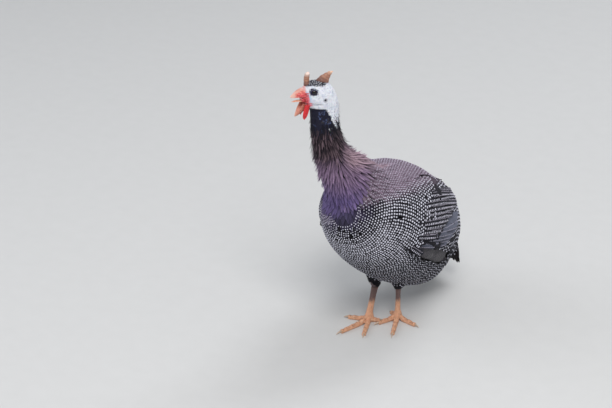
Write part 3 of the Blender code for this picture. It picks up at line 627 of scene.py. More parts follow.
@dataclass
class Coat:
    """Feathers laid over a surface and joined to one piece."""

    hide: Hide
    rng: np.random.Generator
    thickness: float = 0.00022
    patch: float = 0.003
    section: tuple = ((-1.0, 0.0), (-0.55, 0.62), (0.0, 1.0), (0.55, 0.62), (1.0, 0.0), (0.0, 0.5))
    root_bend: float = 1.4
    tip_bend: int = 3
    points: list[np.ndarray] = field(default_factory=list)
    tones: list[np.ndarray] = field(default_factory=list)
    flats: list[np.ndarray] = field(default_factory=list)
    charts: list[np.ndarray] = field(default_factory=list)
    faces: list[tuple[int, ...]] = field(default_factory=list)
    count: int = 0

    def lay(self, feather: Feather) -> None:
        """Adds a feather: rows of a thin cambered lens along a walk over the surface, and a tip."""
        shares = feather.outline.shares
        stops = feather.walk or self.hide.follow(feather.root, feather.way, feather.length, shares)
        ring = len(self.section)
        tip = len(shares) * ring
        draw = float(self.rng.random())
        points = np.empty((tip + 1, 3))
        flat = np.empty((tip + 1, 2))
        for index, ((share, width), (place, normal, way)) in enumerate(zip(feather.outline.value, stops)):
            across = normal.cross(way)
            half = feather.half_width * width
            sunk = feather.sunk * (1.0 - share) ** self.root_bend
            level = feather.rise - sunk + feather.curl * share**self.tip_bend
            for k, (side, dome) in enumerate(self.section):
                lift = level + dome * feather.camber * half + feather.lean * side * width
                lift -= self.thickness if k == ring - 1 else 0.0
                points[index * ring + k] = place + across * (half * side) + normal * lift
                flat[index * ring + k] = (0.5 + 0.5 * side * width, share)
        place, normal, _ = stops[-1]
        points[tip] = place + normal * (feather.rise + feather.curl)
        flat[tip] = (0.5, 1.0)
        for a in range(self.count, self.count + tip, ring):
            for k in range(ring):
                after = (k + 1) % ring
                if a + ring < self.count + tip:
                    self.faces.append((a + k, a + after, a + after + ring, a + k + ring))
                else:
                    self.faces.append((a + k, a + after, self.count + tip))
        self.faces.append(tuple(self.count + k for k in reversed(range(ring))))
        self.count += tip + 1
        self.points.append(points)
        self.flats.append(flat)
        self.tones.append(feather.tone(flat, draw))
        self.charts.append(np.asarray(feather.chart) + (flat - 0.5) * self.patch)

    def piece(self, name: str, material: Material, replaced: Sequence[str] = ()) -> Piece:
        """Joins the feathers to one finished piece with its colours and its two maps."""
        made = new_piece(name, np.concatenate(self.points), self.faces)
        write_map(made.data, "OFBake", np.concatenate(self.charts))
        write_map(made.data, "vane", np.concatenate(self.flats))
        write_tones(made.data, np.concatenate(self.tones))
        return dress(made, material, replaced)


@dataclass(frozen=True)
class PlumageFinish:
    """Feathers: the tone of each, fine barbs off the shaft, a soft sheen."""

    name: str = "plumage"
    barbs: float = 46.0
    slant: float = 9.0
    relief: float = 0.00016
    contrast: float = 0.34
    roughness: float = 0.62

    def build(self) -> Material:
        """Makes the material."""
        paint = Paint(self.name)
        flat = paint.node("ShaderNodeUVMap", {"uv_map": "vane"})
        parts = "ShaderNodeSeparateXYZ"
        across = paint.node(parts, inputs={0: flat}, output="X")
        down = paint.node(parts, inputs={0: flat}, output="Y")
        aside = abs(across - 0.5)
        grain = paint.noise(900.0, 2.0)
        barb = ((down * self.barbs - aside * self.slant + grain * 0.7) * math.tau).sine() * 0.5 + 0.5
        shaft = aside.ease(0.035, 0.0)
        tone = paint.attribute("tone")
        shade = 1.0 - self.contrast * barb * (1.0 - shaft) * grain * 1.6
        grey = paint.node("ShaderNodeCombineXYZ", inputs={0: shade, 1: shade, 2: shade})
        tint = paint.mix(1.0, tone, grey, "MULTIPLY")
        paint.set(
            Base_Color=tint,
            Roughness=self.roughness + 0.16 * grain,
            Normal=paint.bump(barb + shaft * 1.5, self.relief),
            Sheen_Weight=0.05,
            Sheen_Roughness=0.4,
            Sheen_Tint=(0.76, 0.72, 0.90, 1.0),
            Specular_IOR_Level=0.18,
        )
        return paint.material


@dataclass(frozen=True)
class PearlFinish:
    """The white spots on the feathers."""

    name: str = "pearl"

    def build(self) -> Material:
        """Makes the material."""
        paint = Paint(self.name)
        grain = paint.noise(1400.0, 2.0)
        patch = paint.noise(60.0, 2.0)
        share = (grain * 0.5 + patch * 0.4).clamped()
        paint.set(
            Base_Color=paint.mix(share * 0.16, paint.attribute("tone"), (0.10, 0.10, 0.14)),
            Roughness=0.62 + 0.1 * grain,
            Normal=paint.bump(grain, 0.00012),
            Specular_IOR_Level=0.2,
        )
        return paint.material


@dataclass(frozen=True)
class DownFinish:
    """The dark skin and down that shows between the feathers."""

    name: str = "down"
    dark: Colour = (0.012, 0.011, 0.016)
    light: Colour = (0.060, 0.050, 0.066)
    shank: Colour = (0.150, 0.112, 0.118)

    def build(self) -> Material:
        """Makes the material."""
        paint = Paint(self.name)
        fluff = paint.noise(240.0, 4.0, rough=0.7)
        patch = paint.noise(28.0, 2.0)
        colour = paint.mix((fluff * 0.7 + patch * 0.3).ease(0.35, 0.75), self.dark, self.light)
        low = paint.along(UP, (0.0, 0.0, 0.0)).ease(0.105, 0.085)
        paint.set(
            Base_Color=paint.mix(low, colour, paint.mix(fluff, self.shank, self.light)),
            Roughness=0.85 + 0.1 * fluff,
            Normal=paint.bump(fluff, 0.0012),
            Sheen_Weight=0.2,
        )
        return paint.material


@dataclass(frozen=True)
class Patch:
    """A soft-edged ellipsoid in the head's frame, which marks the skin where it meets it."""

    at: tuple[float, float, float]
    radii: tuple[float, float, float]
    soft: float = 0.25
    ruffle: float = 0.7

    def mask(self, paint: Paint, wobble: Signal, sign: int = 1) -> Signal:
        """1 inside and 0 outside, with its rim ruffled by noise round 0.5; sign -1 mirrors it."""
        origin = HEAD.point(self.at[0], sign * self.at[1], self.at[2])
        total: Signal | None = None
        for way, radius in zip((HEAD.forward, HEAD.left, UP), self.radii):
            part = paint.along(way * (1.0 / radius), origin)
            total = part * part if total is None else total + part * part
        reach = total**0.5 + (wobble - 0.5) * self.ruffle
        return reach.ease(1.0 + self.soft, 1.0 - self.soft)


@dataclass(frozen=True)
class FaceFinish:
    """The bare skin of the face and upper neck, with each patch placed in the head's frame."""

    name: str = "face"
    white: Colour = (0.78, 0.80, 0.86)
    shade: Colour = (0.42, 0.46, 0.60)
    blue: Colour = (0.28, 0.52, 0.76)
    throat: Colour = (0.006, 0.006, 0.020)
    # Painted highlight: the light blue of the throat's glints.
    painted_glint_blue: Colour = (0.13, 0.18, 0.38)
    crown: Colour = (0.016, 0.014, 0.030)
    lid: Colour = (0.014, 0.012, 0.046)
    pink: Colour = (0.60, 0.26, 0.25)
    pale_pink: Colour = (0.80, 0.52, 0.50)
    # Grey that mottles the face and rings the ears, and painted shade in the crease of the jaw.
    grey_and_crease_shade: Colour = (0.22, 0.23, 0.28)
    # Painted shade inside the ear opening.
    hollow: Colour = (0.02, 0.018, 0.03)
    deep_red: Colour = (0.56, 0.020, 0.035)
    light_red: Colour = (0.96, 0.42, 0.50)
    brow_patch: Patch = Patch((0.0075, 0.0, 0.0085), (0.0044, 0.0065, 0.0036))
    throat_patch: Patch = Patch((-0.0235, 0.0150, -0.0605), (0.0026, 0.0200, 0.0024))
    eye_patch: Patch = Patch((0.0012, 0.0140, 0.0004), (0.0070, 0.0080, 0.0056), 0.12)
    ear_patch: Patch = Patch((-0.0165, 0.0150, -0.0133), (0.0036, 0.0060, 0.0036), 0.2)
    ear_hole: Patch = Patch((-0.0165, 0.0150, -0.0133), (0.0017, 0.0060, 0.0017), 0.2)
    gape_patch: Patch = Patch((0.0085, 0.0, -0.0210), (0.0068, 0.0200, 0.0060))

    def build(self) -> Material:
        """Makes the material."""
        paint = Paint(self.name)
        wobble = paint.noise(520.0, 3.0, rough=0.65)
        ragged = (wobble - 0.5) * 2.2 + 0.5
        coarse = paint.noise(160.0, 3.0)
        pores = paint.cells(1500.0)
        x = paint.along(HEAD.forward, HEAD.centre)
        z = paint.along(UP, HEAD.centre)
        blotch = paint.noise(330.0, 4.0, rough=0.6)
        colour = paint.mix(coarse.ease(0.40, 0.72) * 0.40, self.white, self.shade)
        colour = paint.mix(blotch.ease(0.52, 0.68) * 0.75, colour, self.shade)
        colour = paint.mix(wobble.ease(0.58, 0.70) * 0.45, colour, self.grey_and_crease_shade)
        rim = x - 0.0066 - z.ease(-0.0110, 0.0010) * 0.0050 + (wobble - 0.5) * 0.0032
        near_red = rim.ease(-0.0042, -0.0008)
        blue = near_red * 0.6 * z.ease(-0.024, -0.010) * z.ease(0.004, -0.004)
        colour = paint.mix(blue, colour, self.blue)
        # The crown is dark with pale specks between the two horns, and dark specks run down the nape.
        top = (z - (x + 0.004) * 0.06 + (wobble - 0.5) * 0.015).ease(0.0078, 0.0094)
        top = top * x.ease(-0.026, -0.016)
        flecks = paint.cells(420.0).ease(0.30, 0.16) * wobble.ease(0.35, 0.6)
        colour = paint.mix(top * (1.0 - flecks * 0.85), colour, self.crown)
        nape = paint.cells(330.0).ease(0.24, 0.14) * coarse.ease(0.42, 0.60) * x.ease(-0.014, -0.026)
        nape = nape.most(paint.cells(480.0).ease(0.42, 0.30) * z.ease(-0.040, -0.052))
        colour = paint.mix(nape * 0.9, colour, self.crown)
        fore = self.brow_patch.mask(paint, ragged)
        colour = paint.mix(fore * (1.0 - flecks * 0.7), colour, self.crown)
        # The throat and the front of the neck are blue-black; white runs down behind them.
        split = x - (z + 0.028) * 0.42 + (wobble - 0.5) * 0.010 + (coarse - 0.5) * 0.007
        neck = (z + (wobble - 0.5) * 0.003).ease(-0.0265, -0.0285) * split.ease(-0.0200, -0.0180)
        below = (z + (wobble - 0.5) * 0.022 + (coarse - 0.5) * 0.016).ease(-0.0600, -0.0660)
        dark = neck.most(below)
        # Painted highlight: bluish glints of reflected light are mixed into the blue-black throat.
        painted_glint = paint.noise(95.0, 2.0).ease(0.56, 0.66) * wobble.ease(0.48, 0.60) * 0.7
        colour = paint.mix(dark, colour, paint.mix(painted_glint, self.throat, self.painted_glint_blue))
        speck = self.throat_patch.mask(paint, wobble)
        colour = paint.mix(speck, colour, self.white)
        # A grey line of painted shade runs back from the gape along its crease, over a white roll of the
        # lower jaw.
        level = z + 0.0205 + (x + 0.004) * 0.10 + (coarse - 0.5) * 0.004
        grey_and_crease_shade = abs(level).ease(0.0022, 0.0003) * x.ease(-0.017, -0.008) * x.ease(0.008, 0.003)
        colour = paint.mix(grey_and_crease_shade * 0.55, colour, self.grey_and_crease_shade)
        for side in Side:
            colour = paint.mix(self.eye_patch.mask(paint, ragged, side.value), colour, self.lid)
            ear = self.ear_patch.mask(paint, wobble, side.value) * 0.55
            colour = paint.mix(ear, colour, self.grey_and_crease_shade)
            # Painted shade: the ear opening is darkened as shade inside its recess.
            colour = paint.mix(self.ear_hole.mask(paint, wobble, side.value), colour, self.hollow)
        # Red skin fills the gape and hangs from its corners; the cere above it is pink.
        gape = rim.ease(-0.0010, 0.0010) * z.ease(0.0010, -0.0020) * z.ease(-0.0290, -0.0255)
        corner = self.gape_patch.mask(paint, wobble)
        flesh = paint.mix(wobble.ease(0.3, 0.7), self.deep_red, self.light_red)
        colour = paint.mix(gape.most(corner), colour, flesh)
        cere = x.ease(0.0100, 0.0130) * z.ease(-0.0030, 0.0010)
        colour = paint.mix(cere, colour, paint.mix(wobble, self.pink, self.pale_pink))
        wrinkle = paint.noise(700.0, 4.0, rough=0.7)
        paint.set(
            Base_Color=colour,
            Roughness=0.50 + 0.18 * wrinkle,
            Normal=paint.bump(wrinkle * 0.7 + pores * 0.3 + blotch, 0.00070),
            Subsurface_Weight=0.06,
            Subsurface_Scale=0.002,
            Specular_IOR_Level=0.25,
        )
        return paint.material


@dataclass(frozen=True)
class HornFinish:
    """Bony horn: brown rings at the root and a pale worn tip."""

    name: str
    low: Vector
    high: Vector
    root: Colour = (0.15, 0.062, 0.050)
    shaft: Colour = (0.39, 0.185, 0.12)
    tip: Colour = (0.78, 0.50, 0.36)

    def build(self) -> Material:
        """Makes the material."""
        paint = Paint(self.name)
        way = self.high - self.low
        up = paint.along(way.normalized() * (1.0 / way.length), self.low)
        grain = paint.noise(300.0, 4.0, rough=0.65)
        streak = paint.noise(900.0, 2.0)
        rings = ((up * 5.5 + grain * 1.3) * math.tau).sine() * 0.5 + 0.5
        colour = paint.mix(up.ease(0.05, 0.45), self.root, self.shaft)
        colour = paint.mix(up.ease(0.62, 0.95), colour, self.tip)
        colour = paint.mix(rings.ease(0.45, 0.95) * 0.45 * up.ease(1.0, 0.7), colour, self.root)
        paint.set(
            Base_Color=paint.mix(streak.ease(0.5, 0.8) * 0.35, colour, (0.62, 0.42, 0.32)),
            Roughness=0.42 + 0.2 * grain,
            Normal=paint.bump(rings * 0.5 + streak * 0.5, 0.0005),
            Subsurface_Weight=0.08,
            Subsurface_Scale=0.002,
        )
        return paint.material


@dataclass(frozen=True)
class BillFinish:
    """One half of the bill: pink-orange horn, redder at its root and pale at its edge."""

    name: str
    root: Colour
    body: Colour
    edge: Colour
    fleshy: bool = False
    flesh: tuple[Colour, Colour] = ((0.50, 0.03, 0.03), (0.84, 0.26, 0.22))
    cere: tuple[Colour, Colour] = ((0.80, 0.56, 0.56), (0.62, 0.17, 0.12))

    def build(self) -> Material:
        """Makes the material."""
        paint = Paint(self.name)
        x = paint.along(HEAD.forward, HEAD.centre)
        grain = paint.noise(420.0, 4.0, rough=0.6)
        lines = paint.noise(1600.0, 2.0)
        colour = paint.mix((x + (grain - 0.5) * 0.008).ease(0.012, 0.022), self.root, self.body)
        colour = paint.mix((x + (grain - 0.5) * 0.012).ease(0.022, 0.034) * 0.7, colour, self.edge)
        colour = paint.mix(lines.ease(0.5, 0.85) * 0.3, colour, self.edge)
        if self.fleshy:
            z = paint.along(UP, HEAD.centre) + (grain - 0.5) * 0.003
            gape = (0.0067 - x * 0.34 - z).ease(-0.0008, 0.0014)
            gape = gape * (x + (lines - 0.5) * 0.004).ease(0.0285, 0.0245)
            colour = paint.mix(gape, colour, paint.mix(grain.ease(0.35, 0.65), *self.flesh))
            cere = z.ease(0.0020, 0.0050) * x.ease(0.0250, 0.0180)
            colour = paint.mix(cere, colour, paint.mix(lines.ease(0.45, 0.70), *self.cere))
        paint.set(
            Base_Color=colour,
            Roughness=0.34 + 0.2 * grain,
            Normal=paint.bump(lines * 0.5 + grain, 0.0003),
            Subsurface_Weight=0.12,
            Subsurface_Scale=0.002,
            Coat_Weight=0.15,
            Coat_Roughness=0.3,
        )
        return paint.material


@dataclass(frozen=True)
class WetFinish:
    """Soft moist skin such as the tongue and the wattles."""

    name: str
    body: Colour
    deep: Colour
    light: Colour
    wet: float = 0.3

    def build(self) -> Material:
        """Makes the material."""
        paint = Paint(self.name)
        folds = paint.noise(260.0, 4.0, rough=0.65)
        bumps = paint.cells(900.0)
        colour = paint.mix(folds.ease(0.35, 0.65), self.deep, self.body)
        colour = paint.mix(bumps.ease(0.35, 0.7) * 0.35, colour, self.light)
        paint.set(
            Base_Color=colour,
            Roughness=0.36 + 0.2 * folds,
            Normal=paint.bump(folds + bumps * 0.4, 0.0006),
            Subsurface_Weight=0.15,
            Subsurface_Scale=0.002,
            Coat_Weight=self.wet,
            Coat_Roughness=0.25,
        )
        return paint.material


@dataclass(frozen=True)
class EyeFinish:
    """A dark brown eye with a black pupil under a wet film."""

    name: str
    side: Side
    dark_iris: Colour = (0.012, 0.006, 0.004)
    light_iris: Colour = (0.040, 0.018, 0.010)
    pupil: Colour = (0.002, 0.002, 0.003)
    rim: Colour = (0.006, 0.005, 0.010)

    def build(self) -> Material:
        """Makes the material."""
        paint = Paint(self.name)
        pole = HEAD.eye_pole(self.side)
        out = paint.along(pole * (1.0 / HEAD.eye_radius), HEAD.eye_centre(self.side))
        rays = paint.noise(1800.0, 3.0)
        iris = paint.mix(rays, self.dark_iris, self.light_iris)
        colour = paint.mix(out.ease(0.86, 0.90), iris, self.pupil)
        colour = paint.mix(out.ease(0.66, 0.60), colour, self.rim)
        paint.set(
            Base_Color=colour,
            Roughness=0.10 + 0.08 * rays,
            Normal=paint.bump(rays, 0.00003),
            Specular_IOR_Level=0.25,
            Coat_Weight=0.45,
            Coat_Roughness=0.02,
        )
        return paint.material


@dataclass(frozen=True)
class LegFinish:
    """Scaly leg skin: dark mauve grey above, peach-orange below, mottled on the toes."""

    name: str = "leg_skin"
    high: Colour = (0.170, 0.105, 0.098)
    low: Colour = (0.78, 0.41, 0.25)
    pale: Colour = (0.88, 0.64, 0.46)
    fleck: Colour = (0.22, 0.10, 0.06)
    change: tuple[float, float] = (0.042, 0.030)

    def build(self) -> Material:
        """Makes the material."""
        paint = Paint(self.name)
        z = paint.along(UP, (0.0, 0.0, 0.0))
        mottle = paint.noise(210.0, 4.0, rough=0.7)
        grain = paint.cells(700.0)
        seams = paint.cells(420.0, feature="DISTANCE_TO_EDGE")
        lower = (z + (mottle - 0.5) * 0.016).ease(*self.change)
        colour = paint.mix(lower, self.high, self.low)
        colour = paint.mix(mottle.ease(0.52, 0.72) * lower * 0.6, colour, self.pale)
        colour = paint.mix(mottle.ease(0.46, 0.30) * 0.5 * lower, colour, self.fleck)
        colour = paint.mix(seams.ease(0.06, 0.0) * 0.30, colour, self.fleck)
        paint.set(
            Base_Color=colour,
            Roughness=0.48 + 0.2 * grain,
            Normal=paint.bump(seams.ease(0.0, 0.10) + grain * 0.3, 0.0004),
            Subsurface_Weight=0.05,
            Subsurface_Scale=0.002,
        )
        return paint.material


@dataclass(frozen=True)
class ClawFinish:
    """Pale horn claws, streaked along and worn at the point."""

    name: str = "claw"

    def build(self) -> Material:
        """Makes the material."""
        paint = Paint(self.name)
        streak = paint.noise(500.0, 4.0)
        dirt = paint.noise(130.0, 3.0)
        colour = paint.mix(streak, (0.34, 0.22, 0.15), (0.66, 0.52, 0.40))
        paint.set(
            Base_Color=paint.mix(dirt.ease(0.55, 0.75) * 0.5, colour, (0.14, 0.10, 0.07)),
            Roughness=0.34 + 0.25 * streak,
            Normal=paint.bump(streak, 0.0003),
        )
        return paint.material


@dataclass(frozen=True)
class FloorFinish:
    """The plain pale floor."""

    name: str = "floor"

    def build(self) -> Material:
        """Makes the material."""
        paint = Paint(self.name)
        grain = paint.noise(35.0, 3.0)
        colour = paint.mix(grain, (0.60, 0.60, 0.60), (0.63, 0.63, 0.63))
        paint.set(Base_Color=colour, Roughness=0.85, Specular_IOR_Level=0.2)
        return paint.material


@dataclass(frozen=True)
class Markings:
    """The plumage's colours by place on the bird, shared by the feathers and the pearls."""

    black: Colour = (0.008, 0.008, 0.013)
    slate: Colour = (0.040, 0.040, 0.054)
    dusk: Colour = (0.060, 0.050, 0.105)
    back: Colour = (0.235, 0.170, 0.232)
    collar: Colour = (0.170, 0.122, 0.310)
    collar_light: Colour = (0.310, 0.208, 0.335)
    mantle: Colour = (0.560, 0.385, 0.455)
    neck: Colour = (0.014, 0.009, 0.014)
    neck_light: Colour = (0.230, 0.155, 0.185)
    throat: Colour = (0.008, 0.008, 0.016)
    tail_end: Colour = (0.012, 0.008, 0.007)
    panel: Colour = (0.125, 0.135, 0.185)
    pearl: Colour = (0.86, 0.86, 0.99)
    pearl_fine: Colour = (0.66, 0.60, 0.74)
    ridge: tuple = ((0.010, -0.115, 0.338), (0.016, -0.031, 0.291))

    def above_edge(self, place: Vector) -> float:
        """How far a place lies over the collar's lower edge, in metres of height."""
        at = place - BODY.shift
        aside = max(eased(-0.030, 0.015, at.x), eased(-0.050, -0.085, at.x))
        return at.z - 0.251 - 0.46 * max(at.x, -0.05) - max(0.0, at.y + 0.133) * (0.2 + 1.3 * aside)

    def collar_share(self, place: Vector) -> float:
        """1 on the plain collar and breast, 0 on the spotted body."""
        return eased(-0.010, 0.008, self.above_edge(place))

    def mantle_share(self, place: Vector) -> float:
        """1 on the pale ridge that runs from the nape on to the back."""
        at = place - BODY.shift
        first, last = (Vector(end) for end in self.ridge)
        along = min(max((at - first).dot(last - first) / (last - first).length_squared, 0.0), 1.0)
        width = 0.031 - 0.022 * along
        off = (at - first.lerp(last, along)).length
        return eased(width, width * 0.3, off) * (1.0 - 0.5 * along)

    def back_share(self, place: Vector) -> float:
        """1 on the mauve upper back, 0 on the black flanks."""
        share, angle = BODY.shares(place)
        edge = math.radians(61.0 - 50.0 * min(max(share, 0.0), 0.55))
        return eased(edge + 0.16, edge - 0.22, angle) * eased(0.92, 0.66, share)

    def body_tone(self, place: Vector) -> np.ndarray:
        """The ground colour of the plumage at a place."""
        near = eased(-0.055, 0.0, self.above_edge(place))
        colour = blend(blend(self.black, self.dusk, near), self.back, self.back_share(place))
        high = eased(0.262, 0.315, place.z)
        colour = blend(colour, blend(self.collar, self.collar_light, high), self.collar_share(place))
        return blend(colour, self.mantle, 0.9 * self.mantle_share(place))

    def plume_tone(self, place: Vector, draw: float) -> np.ndarray:
        """The colour of a neck plume whose tip is at a place: black, brown, then the collar's silk."""
        brown = blend(self.neck, self.neck_light, draw)
        brown = blend(brown, self.throat, eased(0.372, 0.386, place.z))
        silk = eased(0.346, 0.316, place.z) + 0.8 * self.mantle_share(place)
        return blend(brown, self.body_tone(place) * (0.85 + 0.4 * draw), min(silk, 1.0))


MARKS = Markings()


@dataclass
class Skin:
    """The one skin under the coat, the bare head and upper neck, and the surface that feathers follow."""

    body_nodes: tuple = ("torso", "neck", "thigh_left", "thigh_right", "wing_left", "wing_right")
    cell: float = 0.0024
    rounds: int = 14
    head_cell: float = 0.00055
    head_rounds: int = 5
    head_floor: float = -0.076
    coat_depth: float = 0.0042
    least_depth: float = 0.0012
    hide: Hide = field(init=False)
    head: Hide = field(init=False)

    def __post_init__(self) -> None:
        """Makes the smooth surface round the solids, which the coat lies in."""
        around = merged_copy("hide", (*self.body_nodes, "head", "tail"), self.cell, self.rounds, 0.0006)
        self.hide = Hide(around)
        bpy.data.objects.remove(around)

    def build(self, down: Material, face: Material) -> None:
        """Makes the body's skin, inside the coat, and the bare skin of the head."""
        body = merged_copy("skin_body", self.body_nodes, self.cell, self.rounds, 0.0006)
        sculpt(body, self.shrink)
        dress(body, down, ("torso", "neck", "thigh_left", "thigh_right"), self.chart)
        head = merged_copy("skin_head", ("head", "neck"), self.head_cell, self.head_rounds, 0.0004)
        self.trim(head)
        sculpt(head, self.wrinkle)
        dress(head, face, ("head",), self.head_chart)
        self.head = Hide(head)

    def shrink(self, place: Vector, normal: Vector) -> Vector:
        """Draws the skin in by the coat's depth, less on the thin upper neck and at the hocks."""
        low = eased(0.055, 0.090, place.z)
        high = eased(0.400, 0.340, place.z)
        return normal * -(self.least_depth + self.coat_depth * min(low, high))

    @staticmethod
    def chart(place: Vector) -> tuple[float, float]:
        """The body's own unwrap: the angle round its axis and the share along it."""
        away = place - BODY.centre - BODY.shift
        angle = math.atan2(away.x, away.dot(BODY.out))
        along = 0.30 + away.dot(BODY.rear) / BODY.length * 0.55
        return 0.5 + angle / math.tau * 0.96, min(max(along, 0.01), 0.99)

    @staticmethod
    def head_chart(place: Vector) -> tuple[float, float]:
        """The head's own unwrap: the angle round its upright axis and the height."""
        local = HEAD.inside(place)
        angle = math.atan2(local.y, local.x + 0.014)
        return 0.5 + angle / math.tau * 0.96, min(max(0.80 + local.z / 0.10 * 0.8, 0.01), 0.99)

    def trim(self, head: Piece) -> None:
        """Drops the lower neck from the head's skin, well inside the neck's feathers."""
        mesh = head.data
        keep = [HEAD.inside(vertex.co).z > self.head_floor for vertex in mesh.vertices]
        number = np.cumsum(keep) - 1
        points = [vertex.co.copy() for vertex, kept in zip(mesh.vertices, keep) if kept]
        faces = [
            [int(number[k]) for k in polygon.vertices]
            for polygon in mesh.polygons
            if all(keep[k] for k in polygon.vertices)
        ]
        fresh = bpy.data.meshes.new("skin_head")
        fresh.from_pydata([tuple(point) for point in points], [], faces)
        fresh.shade_smooth()
        head.data = fresh

    @staticmethod
    def wrinkle(place: Vector, normal: Vector) -> Vector:
        """Fine folds: strongest round the gape, soft bumps on the face and flutes down the throat."""
        local = HEAD.inside(place)
        gape = eased(0.004, 0.010, local.x) * eased(0.004, -0.004, local.z)
        fine = noise.fractal(place * 420.0, 0.7, 2.0, 3)
        soft = noise.fractal(place * 110.0, 0.8, 2.0, 3)
        jaw = math.exp(-(((local.z + 0.0205) / 0.0018) ** 2)) * eased(-0.016, -0.008, local.x)
        jaw *= eased(0.014, 0.008, local.x)
        push = 0.00050 * soft + 0.00022 * fine + gape * 0.00065 * fine - 0.0010 * jaw
        low = eased(-0.030, -0.050, local.z)
        return normal * (push - 0.0010 * low)


@dataclass
class Plumage:
    """The body's feathers, laid in staggered rows that run from the breast to the tail."""

    skin: Skin
    material: Material
    pitch: float = 0.0080
    length: float = 0.0215
    half_width: float = 0.0064
    first: float = 0.02
    last: float = 0.975
    crowded: float = 0.0125
    parting: Vector = field(default_factory=lambda: Vector((-0.003, -0.142, 0.353)))
    neck_rows: int = 44
    thigh_rows: int = 22
    thigh_radii: tuple[float, float] = (0.028, 0.0074)
    thigh_pitch: float = 0.0036
    thigh_dark: Colour = (0.130, 0.098, 0.108)
    thigh_light: Colour = (0.260, 0.200, 0.210)
    thigh_white: Colour = (0.62, 0.64, 0.70)
    rng: np.random.Generator = field(default_factory=lambda: np.random.default_rng(SEED))
    made: list[Piece] = field(default_factory=list)

    def coat(self) -> Coat:
        """An empty coat on the bird's surface."""
        return Coat(self.skin.hide, self.rng)

    @staticmethod
    def tone(base: Sequence[float], streak: float = 0.25, tip: float = 0.0) -> Shade:
        """How one feather is coloured: a darker root as painted shade under the feathers that cover it, small
        chance and a tip that may be lighter.
        """

        def shade(flat: np.ndarray, draw: float) -> np.ndarray:
            # Painted shade: darker towards the root, where the feather lies under the next one.
            root = 0.72 + 0.28 * smoothstep(0.1, 0.7, flat[:, 1])
            edge = 1.0 + tip * smoothstep(0.6, 1.0, flat[:, 1])
            return np.asarray(base)[None, :] * ((root * edge) * (1.0 + streak * (draw - 0.5)))[:, None]

        return shade

    def body(self) -> None:
        """Lays the contour feathers of the body in sectors, one piece each."""
        sectors = {"coat_" + end: self.coat() for end in ("back", "belly", "left", "right")}
        rows = round((self.last - self.first) * BODY.length * 1.10 / self.pitch)
        for row in range(rows, -1, -1):
            share = self.first + (self.last - self.first) * row / rows
            columns = max(10, 2 * round(BODY.girth(share) / self.pitch / 2.0))
            for column in range(columns):
                angle = math.tau * (column + 0.5 * (row % 2) + self.rng.uniform(-0.12, 0.12)) / columns
                angle = (angle + math.pi) % math.tau - math.pi
                self.lay_contour(sectors, share + self.rng.uniform(-0.1, 0.1) / rows, angle)
        self.made.extend(coat.piece(name, self.material) for name, coat in sectors.items())

    def lay_contour(self, sectors: dict[str, Coat], share: float, angle: float) -> None:
        """Lays one contour feather, unless its root lies deep inside the neck, a wing or a thigh."""
        point = BODY.point(share, angle)
        place, normal = self.skin.hide.nearest(point)
        away = abs(math.degrees(angle))
        low = away > 100.0
        near = 0.0050 if low and share > 0.28 else self.crowded
        if (place - point).length > near:
            return
        way = BODY.point(min(share + 0.03, 0.99), angle) - BODY.point(share - 0.01, angle)
        way = way.normalized() + Vector((0.0, 0.0, -0.10))
        name = "coat_back" if away < 42 else "coat_belly" if away > 138 else None
        name = name or ("coat_left" if angle > 0 else "coat_right")
        size = 0.80 + 0.20 * eased(0.0, 0.3, share)
        length = self.length * size * self.rng.uniform(0.92, 1.08)
        level = (way - normal * way.dot(normal)).normalized()
        tip, _ = self.skin.hide.nearest(place + level * (length * 0.75))
        if low and 0.28 < share < 0.8 and (tip - BODY.point(share + 0.045, angle)).length > 0.014:
            return
        sectors[name].lay(
            Feather(
                place, way, length, self.half_width * size, Outline.ROUND,
                self.tone(MARKS.body_tone(tip), 0.16), chart=Skin.chart(place), camber=0.09,
            )
        )

    def neck(self) -> None:
        """Lays loose plumes down the neck: black hairs at its top, broad silky feathers on the breast."""
        coat = self.coat()
        for row in range(self.neck_rows):
            share = 0.04 + 0.90 * row / (self.neck_rows - 1)
            half = NECK.half(share)
            low = eased(0.50, 0.22, share)
            pitch = 0.0028 + 0.0038 * low
            columns = round(math.pi * (half.x + half.y) / pitch)
            for column in range(columns):
                angle = math.tau * (column + 0.5 * (row % 2) + self.rng.uniform(-0.35, 0.35)) / columns
                self.lay_plume(coat, share + self.rng.uniform(-0.012, 0.012), angle, low)
        self.made.append(coat.piece("coat_neck", self.material))

    def lay_plume(self, coat: Coat, share: float, angle: float, low: float) -> None:
        """Lays one plume of the neck, unless its root lies inside the body or on the bare throat."""
        point = NECK.point(share, angle)
        place, normal = self.skin.hide.nearest(point)
        if (place - point).length > 0.0090 or self.rng.random() < eased(0.80, 0.95, share):
            return
        high = eased(0.70, 0.86, share)
        length = (0.0185 + 0.0085 * low - 0.0060 * high) * self.rng.uniform(0.80, 1.25)
        away = place - self.parting - BODY.shift
        spread = 1.1 * eased(0.372, 0.335, place.z)
        way = NECK.way(share) * -1.0 + away.normalized() * spread + LEFT * self.rng.uniform(-0.16, 0.16)
        way = (way - normal * way.dot(normal)).normalized()
        tip, _ = self.skin.hide.nearest(place + way * (length * 0.8))
        loose = 1.0 - low
        base = MARKS.plume_tone(tip, float(self.rng.random()) ** (2.4 - 1.4 * low))
        round_neck = math.atan2(math.sin(angle), math.cos(angle)) / math.tau
        coat.lay(
            Feather(
                place, way, length, 0.0013 + 0.0043 * low - 0.0004 * high, Outline.PLUME,
                self.tone(base, 0.2, 0.35 * loose), sunk=0.0030, rise=0.0009,
                curl=0.0075 * float(self.rng.random()) ** 1.8 * loose * (1.0 - 0.6 * high),
                chart=(0.5 + round_neck * 0.96, 0.03 + 0.9 * share), camber=0.10,
            )
        )

